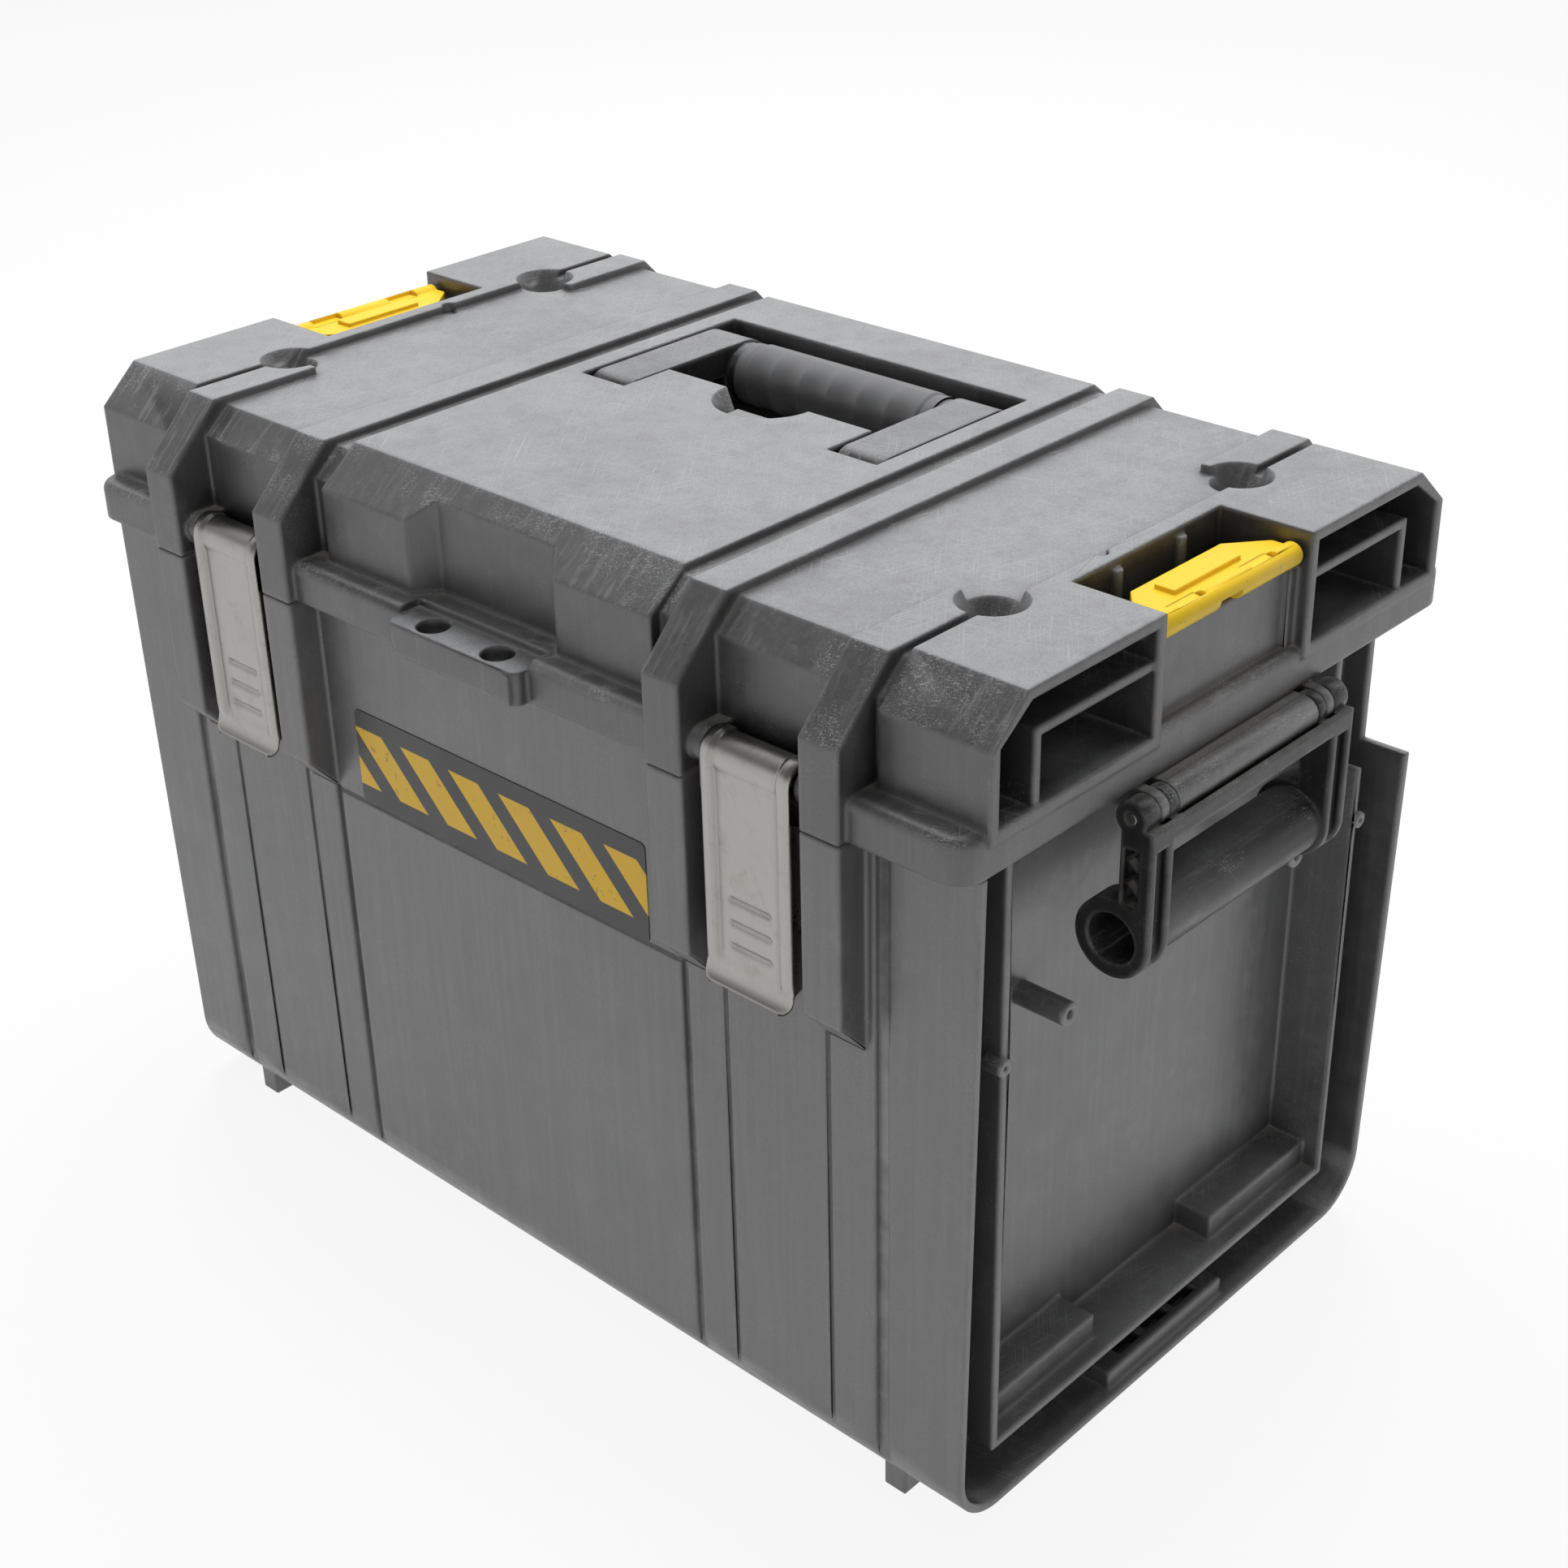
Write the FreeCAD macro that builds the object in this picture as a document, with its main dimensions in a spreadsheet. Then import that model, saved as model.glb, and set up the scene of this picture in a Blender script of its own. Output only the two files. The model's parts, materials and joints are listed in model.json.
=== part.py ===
import FreeCAD, Part
import os
from types import SimpleNamespace

import Sketcher

# Stackable tool box: a moulded tub and a hinged lid with two steel draw latches, a folding top handle,
# a bail handle at each end and a stacking latch at each end of the lid.
# Millimetres, +X along the box, -Y is the latch side, +Z up, origin on the floor under the middle.

DRIVING_SIZES = dict(
    # Outside of the box
    body_length=554.0,
    body_depth=339.0,
    tub_height=336.7,
    lid_height=70.8,
    parting_gap=0.5,
    wall=4.0,
    overhang=10.9,
    corner_round=28.0,
    end_draft=6.0,
    skirt_setback=0.5,
    # Feet
    foot_height=6.0,
    foot_end_inset=43.0,
    foot_width=12.0,
    foot_side_inset=19.5,
    foot_length=38.0,
    foot_root=10.0,
    # Ribs on the lid and the columns under them
    rib_width=20.0,
    bay_width=63.7,
    end_length=56.9,
    rib_proud=4.8,
    rib_face=41.0,
    rib_slope=30.0,
    column_height=82.7,
    column_taper=17.0,
    # Grooves and steps in the tub walls
    groove_depth=2.5,
    step_depth=1.0,
    step_width=2.0,
    inner_groove_width=4.2,
    inner_groove_offset=1.4,
    outer_groove_width=7.0,
    outer_groove_offset=4.4,
    inner_step_offset=4.0,
    # End recesses of the tub
    end_recess_depth=39.0,
    rim_depth=6.0,
    rim_inset=15.0,
    skirt_window_inset=25.0,
    skirt_window_drop=73.7,
    frame_inset=10.0,
    frame_gap=23.6,
    frame_bottom=33.0,
    frame_wall=4.0,
    boss_inset=47.0,
    boss_drop=100.7,
    boss_length=27.0,
    boss_radius=5.5,
    boss_hole=2.0,
    rib_boss_radius=4.0,
    rib_boss_length=8.0,
    corner_pad_length=85.0,
    corner_pad_height=17.0,
    corner_pad_depth=20.0,
    catch_half_width=45.0,
    catch_depth=17.0,
    catch_height=9.0,
    catch_slot_width=5.0,
    catch_slot_length=17.0,
    catch_tab_width=5.0,
    # Lid
    flange_height=19.3,
    flange_round=12.0,
    flange_edge=5.0,
    panel_drop=4.0,
    centre_gap=10.9,
    centre_inset=12.5,
    centre_slope_drop=16.5,
    centre_slope=21.0,
    bay_inset=18.0,
    bay_slope_drop=12.0,
    bay_slope=14.0,
    pocket_front=97.0,
    pocket_back=76.0,
    pocket_depth=11.0,
    deck_groove=4.0,
    deck_width=9.0,
    block_proud=1.6,
    block_gap=101.4,
    block_inset=13.0,
    block_slope_drop=18.2,
    block_slope=20.5,
    block_wall=5.0,
    block_back=8.0,
    block_rib_inset=27.0,
    block_rib_drop=19.0,
    block_rib_wall=4.0,
    trough_width=29.0,
    trough_depth=38.0,
    end_wall_setback=7.0,
    end_wall_drop=16.5,
    pilaster_width=6.0,
    pilaster_proud=2.5,
    post_radius=3.0,
    post_y=22.0,
    dimple_y=84.0,
    dimple_radius=16.0,
    dimple_floor=7.0,
    dimple_depth=8.0,
    drain_radius=3.5,
    drain_depth=1.5,
    drain_y=20.5,
    # Padlock tab on the front of the lid flange
    tab_width=84.0,
    tab_reach=6.8,
    tab_drop=3.5,
    tab_round=4.0,
    padlock_spacing=42.0,
    padlock_radius=7.5,
    padlock_setback=9.5,
    hook_width=4.0,
    hook_reach=1.2,
    hook_x=37.0,
    # Seal under the lid
    seal_width=3.0,
    seal_depth=2.0,
    seal_clearance=0.2,
    # Rear hinges
    hinge_radius=6.0,
    hinge_pin_radius=2.5,
    hinge_back=2.0,
    hinge_end_gap=2.0,
    hinge_knuckle=12.0,
    hinge_notch=7.5,
    side_gap=0.6,
    pin_clearance=0.05,
    # Front latches
    latch_width=48.0,
    latch_sheet=1.5,
    latch_setback=2.8,
    latch_axis_rise=12.8,
    latch_roll=9.5,
    latch_pin_radius=3.0,
    latch_reach=81.7,
    latch_tab=7.0,
    latch_tab_flare=3.5,
    latch_field_width=32.0,
    latch_field_height=0.8,
    latch_field_margin=4.0,
    latch_field_drop=16.0,
    latch_flange_depth=9.0,
    latch_flange_drop=7.0,
    latch_lug_radius=7.5,
    latch_groove_height=3.0,
    latch_groove_pitch=11.0,
    latch_groove_start=9.0,
    latch_groove_width=25.0,
    catch_pin_radius=2.0,
    catch_pin_drop=52.2,
    catch_pin_back=6.0,
    catch_width=24.0,
    catch_lip_height=12.0,
    catch_bite=0.5,
    # Top handle
    well_half_width=93.5,
    well_back=98.8,
    well_front=23.7,
    slot_front=-6.5,
    slot_inner=64.8,
    well_depth=37.0,
    well_wall=4.0,
    handle_gap=1.5,
    handle_top_drop=0.5,
    handle_pivot_radius=9.0,
    handle_pin_radius=3.0,
    handle_pin_seat=3.5,
    handle_arm_thick=14.5,
    grip_y=79.0,
    grip_radius=16.0,
    grip_core_radius=11.0,
    grip_length=122.0,
    grip_rib_depth=0.7,
    collar_radius=14.5,
    scoop_radius=26.5,
    scoop_floor_radius=12.0,
    scoop_depth=30.0,
    scoop_tab_width=22.0,
    scoop_tab_depth=12.0,
    scoop_tab_front=3.0,
    scoop_tab_drop=5.0,
    # Bail handles at the ends
    bail_axis_out=4.5,
    bail_axis_drop=8.2,
    bail_knuckle=7.5,
    bail_rod_radius=2.5,
    barrel_length=100.0,
    bail_ring=5.4,
    bail_width=145.0,
    bail_arm_width=15.0,
    bail_arm_inner=4.5,
    bail_arm_outer=10.8,
    bail_grip_drop=57.5,
    bail_grip_in=7.0,
    bail_grip_radius=15.5,
    bail_bore_radius=11.5,
    bail_bore_depth=45.0,
    bail_channel_depth=4.5,
    bail_flange=3.8,
    bail_truss_depth=5.0,
    bail_truss_margin=1.0,
    bail_truss_rib=1.6,
    crossbar_drop=12.0,
    crossbar_web=4.0,
    crossbar_lip=2.7,
    crossbar_height=8.5,
    crossbar_inner=2.0,
    bail_clearance=0.6,
    # Stacking latches at the ends of the lid
    stack_latch_width=96.0,
    stack_axis_in=6.2,
    stack_axis_drop=10.2,
    stack_barrel=5.2,
    stack_plate=5.0,
    stack_ridge=2.0,
    stack_ridge_width=10.0,
    stack_ridge_margin=5.5,
    stack_ridge_length=46.0,
    stack_reach=24.0,
    stack_neck_width=62.0,
    stack_shoulder=10.0,
    stack_pin_radius=1.75,
    stack_pin_seat=3.5,
    stack_notch=15.0,
    stack_notch_shift=2.7,
    stack_pocket_length=18.0,
    stack_pocket_width=6.5,
    stack_pocket_front=1.5,
    stack_pocket_wall=1.0,
    stack_pocket_y=25.0,
    # Blank name label on the front
    label_side_gap=19.4,
    label_drop=51.7,
    label_height=49.0,
    label_thick=0.4,
    label_round=3.0,
)


class Size:
    """A length that knows its number and the sheet formula that gives it."""

    def __init__(self, value, formula):
        self.value = value
        self.formula = formula

    def __add__(self, other):
        other = as_size(other)
        return Size(self.value + other.value, f"({self.formula} + {other.formula})")

    def __sub__(self, other):
        other = as_size(other)
        return Size(self.value - other.value, f"({self.formula} - {other.formula})")

    def __mul__(self, factor):
        return Size(self.value * factor, f"({self.formula} * {factor})")

    def __truediv__(self, divisor):
        return Size(self.value / divisor, f"({self.formula} / {divisor})")

    def __neg__(self):
        return Size(-self.value, f"(0 - {self.formula})")


def as_size(number):
    return number if isinstance(number, Size) else Size(number, f"({number})")


def make_sheet():
    """Write every driving size to its own named cell."""
    sheet = doc.addObject("Spreadsheet::Sheet", "Sizes")
    for row, (alias, number) in enumerate(DRIVING_SIZES.items(), 1):
        sheet.set(f"A{row}", alias)
        sheet.set(f"B{row}", str(number))
        sheet.setAlias(f"B{row}", alias)
    doc.recompute()


def bind(thing, prop, size):
    thing.setExpression(prop, as_size(size).formula)


def span(sign, low, high):
    """The range low to high, mirrored when the sign is negative."""
    return (low, high) if sign > 0 else (-as_size(high), -as_size(low))


def middle(size):
    """A range as far below zero as above it."""
    return (-size, size)


def box(name, x, y, z):
    block = doc.addObject("Part::Box", name)
    for prop, axis, (low, high) in zip(("Length", "Width", "Height"), "xyz", (x, y, z)):
        bind(block, prop, as_size(high) - low)
        bind(block, f".Placement.Base.{axis}", low)
    return block


def wedge(name, x, y, z, top_x, top_y):
    """Block that tapers from one rectangle at the bottom to another at the top."""
    block = doc.addObject("Part::Wedge", name)
    block.Placement = FreeCAD.Placement(FreeCAD.Vector(), FreeCAD.Rotation(FreeCAD.Vector(1, 0, 0), 90))
    limits = dict(
        Xmin=x[0], Xmax=x[1], X2min=top_x[0], X2max=top_x[1], Ymin=z[0], Ymax=z[1],
        Zmin=-as_size(y[1]), Zmax=-as_size(y[0]), Z2min=-as_size(top_y[1]), Z2max=-as_size(top_y[0]),
    )
    for prop, limit in limits.items():
        bind(block, prop, limit)
    return block


TURNS = {
    "x": (FreeCAD.Rotation(FreeCAD.Vector(0, 1, 0), 90), "yz"),
    "y": (FreeCAD.Rotation(FreeCAD.Vector(1, 0, 0), -90), "xz"),
    "z": (FreeCAD.Rotation(), "xy"),
}


def rod(name, axis, place, radius, reach, top_radius=None):
    """Cylinder along an axis, or a cone where a second radius is given."""
    kind = "Part::Cylinder" if top_radius is None else "Part::Cone"
    cylinder = doc.addObject(kind, name)
    rotation, across = TURNS[axis]
    cylinder.Placement = FreeCAD.Placement(FreeCAD.Vector(), rotation)
    if top_radius is None:
        bind(cylinder, "Radius", radius)
    else:
        bind(cylinder, "Radius1", radius)
        bind(cylinder, "Radius2", top_radius)
    bind(cylinder, "Height", as_size(reach[1]) - reach[0])
    bind(cylinder, f".Placement.Base.{axis}", reach[0])
    for letter, size in zip(across, place):
        bind(cylinder, f".Placement.Base.{letter}", size)
    return cylinder


def join(name, pieces):
    fused = doc.addObject("Part::MultiFuse", name)
    fused.Shapes = pieces
    fused.Refine = True
    return fused


def take(name, base, tools):
    cut = doc.addObject("Part::Cut", name)
    cut.Base = base
    cut.Tool = tools[0] if len(tools) == 1 else join(f"{name}_tools", tools)
    cut.Refine = True
    return cut


def edges_along(shape, axis, height=None):
    """Numbers of the edges that run along an axis, at the lowest or highest z where that is asked."""
    limits = {"low": shape.BoundBox.ZMin, "high": shape.BoundBox.ZMax}
    numbers = []
    for number, edge in enumerate(shape.Edges, 1):
        run = edge.Vertexes[-1].Point - edge.Vertexes[0].Point
        straight = abs(abs(getattr(run, axis)) - edge.Length) < 1e-6
        level = height is None or abs(edge.BoundBox.Center.z - limits[height]) < 1e-6
        if straight and level:
            numbers.append(number)
    return numbers


def rounded(name, base, radius, axis, height=None):
    """Round the straight edges of a block that run along an axis."""
    doc.recompute()
    fillet = doc.addObject("Part::Fillet", name)
    fillet.Base = base
    fillet.Edges = [(number, radius.value, radius.value) for number in edges_along(base.Shape, axis, height)]
    return fillet


def rounded_rim(name, base, radius):
    """Round the whole edge of a block's top face."""
    doc.recompute()
    top = base.Shape.BoundBox.ZMax
    rim = [
        number for number, edge in enumerate(base.Shape.Edges, 1)
        if abs(edge.BoundBox.ZMin - top) < 1e-6
    ]
    fillet = doc.addObject("Part::Fillet", name)
    fillet.Base = base
    fillet.Edges = [(number, radius.value, radius.value) for number in rim]
    return fillet


def sketch_outline(body, role, points):
    """Closed outline on one of the body's origin planes, with every corner tied to the sheet."""
    sketch = body.newObject("Sketcher::SketchObject", f"{body.Name}_outline")
    plane = next(feature for feature in body.Origin.OriginFeatures if feature.Role == role)
    sketch.AttachmentSupport = (plane, "")
    sketch.MapMode = "FlatFace"
    corners = [FreeCAD.Vector(as_size(a).value, as_size(b).value, 0) for a, b in points]
    count = len(corners)
    for number in range(count):
        sketch.addGeometry(Part.LineSegment(corners[number], corners[(number + 1) % count]))
    for number in range(count):
        sketch.addConstraint(Sketcher.Constraint("Coincident", number, 2, (number + 1) % count, 1))
    for number, point in enumerate(points):
        for kind, size in zip(("DistanceX", "DistanceY"), point):
            size = as_size(size)
            index = sketch.addConstraint(Sketcher.Constraint(kind, -1, 1, number, 1, size.value))
            sketch.setExpression(f"Constraints[{index}]", size.formula)
    return sketch


doc = FreeCAD.newDocument("tool_box")
size = SimpleNamespace(**{alias: Size(number, f"Sizes.{alias}") for alias, number in DRIVING_SIZES.items()})
make_sheet()

SIDES = {"left": -1, "right": 1}
PAST = 10.0
BITE = 1.0
GRIP_BANDS = 6
TRUSS_BARS = 5
LATCH_GROOVES = 3

# Places that several pieces share
half_length = size.body_length / 2
half_depth = size.body_depth / 2
wall_y = half_depth - size.overhang
rib_front = half_depth + size.rib_proud
outer_rib_end = half_length - size.end_length
outer_rib_x = outer_rib_end - size.rib_width
inner_rib_end = outer_rib_x - size.bay_width
inner_rib_x = inner_rib_end - size.rib_width
bay_x = inner_rib_end + size.bay_width / 2
lid_bottom = size.tub_height + size.parting_gap
flange_top = lid_bottom + size.flange_height
total_height = lid_bottom + size.lid_height
panel_top = total_height - size.panel_drop
RIBS = ((inner_rib_x, inner_rib_end), (outer_rib_x, outer_rib_end))

foot_outer_x = half_length - size.foot_end_inset
foot_outer_y = half_depth - size.foot_side_inset
floor_top = size.foot_height + size.wall
column_low = size.tub_height - size.column_height
column_root = column_low - size.column_taper
label_half = inner_rib_x - size.label_side_gap
label_low = size.tub_height - size.label_drop - size.label_height

skirt_x = half_length - size.skirt_setback
end_panel_x = half_length - size.end_recess_depth
cavity_x = end_panel_x - size.wall
cavity_y = wall_y - size.wall
rim_x = half_length - size.rim_inset
skirt_window_x = half_length - size.skirt_window_inset
skirt_window_z = size.tub_height - size.skirt_window_drop
frame_x = half_length - size.frame_inset
frame_half_width = cavity_y - size.frame_gap
boss_y = frame_half_width - size.boss_inset
boss_z = size.tub_height - size.boss_drop
corner_pad_inner = frame_half_width - size.corner_pad_length

hinge_y = half_depth + size.hinge_back
hinge_z = size.tub_height + size.parting_gap / 2
hinge_low = inner_rib_end + size.hinge_end_gap
hinge_high = outer_rib_x - size.hinge_end_gap

latch_front = rib_front - size.latch_setback
latch_axis_y = -(latch_front - size.latch_roll)
latch_axis_z = size.tub_height + size.latch_axis_rise
latch_bottom = size.tub_height - size.latch_reach
latch_half = size.latch_width / 2
catch_pin_y = -(latch_front - size.catch_pin_back)
catch_pin_z = size.tub_height - size.catch_pin_drop

bail_x = half_length + size.bail_axis_out
bail_z = size.tub_height - size.bail_axis_drop
barrel_end = size.barrel_length / 2
ring_low = barrel_end + size.side_gap
ring_high = ring_low + size.bail_ring
keeper_low = ring_high + size.side_gap
keeper_high = keeper_low + size.bail_ring
eye_low = keeper_high + size.side_gap
bail_end = size.bail_width / 2

deck_x = outer_rib_end + size.deck_groove
deck_wall_x = deck_x + size.deck_width
block_end = half_length + size.block_proud
block_front = half_depth - size.block_inset
block_inner = size.block_gap / 2
block_slope_z = total_height - size.block_slope_drop
block_rib_y = block_front - size.block_rib_inset
block_rib_z = total_height - size.block_rib_drop
bay_face = half_depth - size.bay_inset
bay_slope_z = panel_top - size.bay_slope_drop
centre_half = inner_rib_x - size.centre_gap
centre_front = half_depth - size.centre_inset
centre_slope_z = total_height - size.centre_slope_drop
trough_floor = total_height - size.trough_depth
end_wall_x = half_length - size.end_wall_setback
end_wall_top = total_height - size.end_wall_drop
stack_x = half_length - size.stack_axis_in
stack_axis_z = total_height - size.stack_axis_drop

well_floor = total_height - size.well_depth
scoop_floor = total_height - size.scoop_depth
pivot_z = total_height - size.handle_top_drop - size.handle_pivot_radius
pivot_y = size.slot_front + size.handle_gap + size.handle_pivot_radius + size.side_gap
grip_z = total_height - size.handle_top_drop - size.grip_radius
arm_outer = size.well_half_width - size.handle_gap
arm_inner = size.slot_inner + size.handle_gap


def tub_shell():
    """Outside of the tub: walls with a rounded floor edge, ends drawn in, feet, columns and grooves."""
    block = box("tub_block", middle(skirt_x), middle(wall_y), (size.foot_height, size.tub_height))
    soft = rounded("tub_round", block, size.corner_round, "x", "low")
    foot_end = half_length - size.end_draft
    draft = wedge("tub_draft", middle(foot_end), middle(wall_y + PAST), (0.0, size.tub_height),
                  middle(skirt_x), middle(wall_y + PAST))
    shell = doc.addObject("Part::Common", "tub_drafted")
    shell.Base = soft
    shell.Tool = draft
    pieces = [shell]
    for sign in SIDES.values():
        foot_x = span(sign, foot_outer_x - size.foot_width, foot_outer_x)
        for row in SIDES.values():
            foot_y = span(row, foot_outer_y - size.foot_length, foot_outer_y)
            pieces.append(box("tub_foot", foot_x, foot_y, (0.0, size.foot_height + size.foot_root)))
        for low, high in RIBS:
            for row, face in ((-1, rib_front), (1, half_depth)):
                x = span(sign, low, high)
                y = span(row, wall_y - BITE, face)
                root = span(row, wall_y - BITE, wall_y + size.step_depth / 4)
                pieces.append(box("tub_column", x, y, (column_low, size.tub_height)))
                pieces.append(wedge("tub_column_root", x, root, (column_root, column_low), x, y))
    return take("tub_outside", join("tub_solid", pieces), tub_grooves())


def tub_grooves():
    """Upright grooves and steps that carry the columns' lines down the front and rear walls."""
    cuts = []
    for sign in SIDES.values():
        for row in SIDES.values():
            deep = span(row, wall_y - size.groove_depth, wall_y + BITE)
            shallow = span(row, wall_y - size.step_depth, wall_y + BITE)
            inner = inner_rib_x - size.inner_groove_offset
            outer = outer_rib_end + size.outer_groove_offset
            step = inner_rib_end + size.inner_step_offset
            cuts.append(box("groove_inner", span(sign, inner, inner + size.inner_groove_width), deep,
                            (0.0, column_root)))
            cuts.append(box("groove_outer", span(sign, outer, outer + size.outer_groove_width), deep,
                            (0.0, size.tub_height + BITE)))
            cuts.append(box("step_inner", span(sign, step, step + size.step_width), shallow,
                            (0.0, column_root)))
            cuts.append(box("step_outer", span(sign, outer_rib_x - size.step_width, outer_rib_x), shallow,
                            (0.0, column_root)))
    label_step = (label_low - size.step_width, label_low)
    cuts.append(box("label_step", middle(inner_rib_x), span(-1, wall_y - size.step_depth, wall_y + BITE),
                    label_step))
    return cuts


def tub_hollows():
    """The load space, and the open recess outside the panel at each end."""
    inner_round = size.corner_round - size.wall
    cavity = box("tub_cavity", middle(cavity_x), middle(cavity_y), (floor_top, size.tub_height + PAST))
    hollows = [rounded("tub_cavity_round", cavity, inner_round, "x", "low")]
    past_end = half_length + PAST
    for sign in SIDES.values():
        recess = box("end_recess", span(sign, end_panel_x, past_end), middle(cavity_y),
                     (floor_top, size.tub_height - size.rim_depth))
        hollows.append(rounded("end_recess_round", recess, inner_round, "x", "low"))
        hollows.append(box("rim_opening", span(sign, rim_x, past_end), middle(cavity_y),
                           (size.tub_height - size.rim_depth - BITE, size.tub_height + PAST)))
        hollows.append(box("skirt_window", span(sign, skirt_window_x, past_end),
                           (cavity_y - BITE, wall_y + BITE), (skirt_window_z, size.tub_height + PAST)))
    return hollows


def end_frame(sign):
    """Upright rib frame on the end panel, open at the top, with its rear leg cut at the skirt window."""
    x = span(sign, end_panel_x - BITE, frame_x)
    top = size.tub_height - size.rim_depth + BITE
    inner = frame_half_width - size.frame_wall
    frame = box("frame_block", x, middle(frame_half_width), (size.frame_bottom, top))
    opening = box("frame_opening", span(sign, end_panel_x - BITE - BITE, frame_x + BITE),
                  middle(inner), (size.frame_bottom + size.frame_wall, top + BITE))
    rear_leg = box("frame_rear_leg", span(sign, skirt_window_x, frame_x + BITE),
                   (inner - BITE, frame_half_width + BITE), (skirt_window_z, top + BITE))
    return take("end_frame", frame, [opening, rear_leg])


def end_fittings(sign):
    """Screw bosses, corner pads and the stacking catch inside one end recess."""
    root = end_panel_x - BITE
    tip = end_panel_x + size.boss_length
    pieces = [end_frame(sign)]
    for row in SIDES.values():
        y = span(row, corner_pad_inner, frame_half_width - BITE)
        pieces.append(rod("boss", "x", (boss_y * row, boss_z), size.boss_radius,
                          span(sign, root, tip)))
        pieces.append(rod("rib_boss", "x", (frame_half_width * row, boss_z), size.rib_boss_radius,
                          span(sign, frame_x - size.rib_boss_length, frame_x + size.step_width)))
        pieces.append(box("corner_pad", span(sign, root, end_panel_x + size.corner_pad_depth), y,
                          (size.frame_bottom, size.frame_bottom + size.corner_pad_height)))
        tab = span(row, size.catch_half_width - size.catch_tab_width, size.catch_half_width)
        pieces.append(box("catch_tab", span(sign, frame_x - size.catch_depth / 2, frame_x), tab,
                          (0.0, floor_top)))
    pieces.append(box("catch_pad", span(sign, frame_x - size.catch_depth, frame_x),
                      middle(size.catch_half_width), (size.foot_height, floor_top + size.catch_height)))
    fittings = join("end_fittings", pieces)
    cuts = []
    slot_x = span(sign, frame_x - size.catch_depth + size.catch_slot_width,
                  frame_x - size.catch_slot_width)
    for place in (-1, 0, 1):
        centre = (size.catch_slot_length + size.catch_slot_width) * place
        cuts.append(box("catch_slot", slot_x,
                        (centre - size.catch_slot_length / 2, centre + size.catch_slot_length / 2),
                        (-PAST, floor_top + size.catch_height + PAST)))
    for row in SIDES.values():
        cuts.append(rod("boss_hole", "x", (boss_y * row, boss_z), size.boss_hole,
                        span(sign, end_panel_x + BITE, tip + BITE)))
        cuts.append(rod("rib_boss_hole", "x", (frame_half_width * row, boss_z), size.boss_hole / 2,
                        span(sign, frame_x - BITE, half_length)))
    return take("end_fittings_cut", fittings, cuts)


def bail_keepers(sign):
    """Barrel and outer knuckles under the rim that the bail handle turns on."""
    pieces = []
    ranges = [middle(barrel_end), span(-1, keeper_low, keeper_high), span(1, keeper_low, keeper_high)]
    for y in ranges:
        pieces.append(rod("bail_keeper", "y", (bail_x * sign, bail_z), size.bail_knuckle, y))
        pieces.append(box("bail_keeper_web", span(sign, end_panel_x - BITE, bail_x), y,
                          (bail_z - size.bail_knuckle / 2, size.tub_height - size.parting_gap)))
    return pieces


def rear_knuckles(sign):
    """The tub's two knuckles of one rear hinge."""
    pieces = []
    for low in (hinge_low, hinge_high - size.hinge_knuckle):
        x = span(sign, low, low + size.hinge_knuckle)
        pieces.append(rod("tub_knuckle", "x", (hinge_y, hinge_z), size.hinge_radius, x))
        pieces.append(box("tub_knuckle_web", x, (wall_y - BITE, hinge_y),
                          (hinge_z - size.hinge_radius, size.tub_height - size.parting_gap)))
    return pieces


def make_tub():
    body = take("tub_hollowed", tub_shell(), tub_hollows())
    pieces = [body]
    bores = []
    lip = as_size(catch_pin_y) + size.catch_pin_radius + size.catch_bite
    for sign in SIDES.values():
        pieces.append(end_fittings(sign))
        pieces.extend(bail_keepers(sign))
        pieces.extend(rear_knuckles(sign))
        catch_x = (bay_x * sign - size.catch_width / 2, bay_x * sign + size.catch_width / 2)
        catch_z = catch_pin_z + size.catch_pin_radius + size.catch_bite
        pieces.append(box("latch_catch", catch_x, (lip, -(wall_y - BITE)),
                          (catch_z, catch_z + size.catch_lip_height)))
        bores.append(rod("bail_bore", "y", (bail_x * sign, bail_z), size.bail_rod_radius + size.pin_clearance,
                         middle(bail_end + PAST)))
        bores.append(rod("hinge_bore", "x", (hinge_y, hinge_z), size.hinge_pin_radius + size.pin_clearance,
                         span(sign, hinge_low - BITE, hinge_high + BITE)))
    return take("tub", join("tub_joined", pieces), bores)


def lid_flange():
    """Rim of the lid, cut away at the two latch bays and notched over the tub's hinge knuckles."""
    block = box("flange_block", middle(half_length), middle(half_depth), (lid_bottom, flange_top))
    corners = rounded("flange_corners", block, size.flange_round, "z")
    soft = rounded_rim("flange_rim", corners, size.flange_edge)
    cuts = []
    for sign in SIDES.values():
        cuts.append(box("latch_bay", span(sign, inner_rib_end, outer_rib_x),
                        (-(half_depth + PAST), -bay_face), (lid_bottom - BITE, flange_top + BITE)))
    return take("lid_flange", soft, cuts)


def ridge(name, x, front, rear, top, slope_z, slope):
    """Upright block across the lid whose front and rear slope in above a given height."""
    straight = box(name, x, (-front, rear), (lid_bottom, slope_z))
    crown = wedge(f"{name}_slope", x, (-front, rear), (slope_z, top), x, (-(front - slope), rear - slope))
    return [straight, crown]


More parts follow.
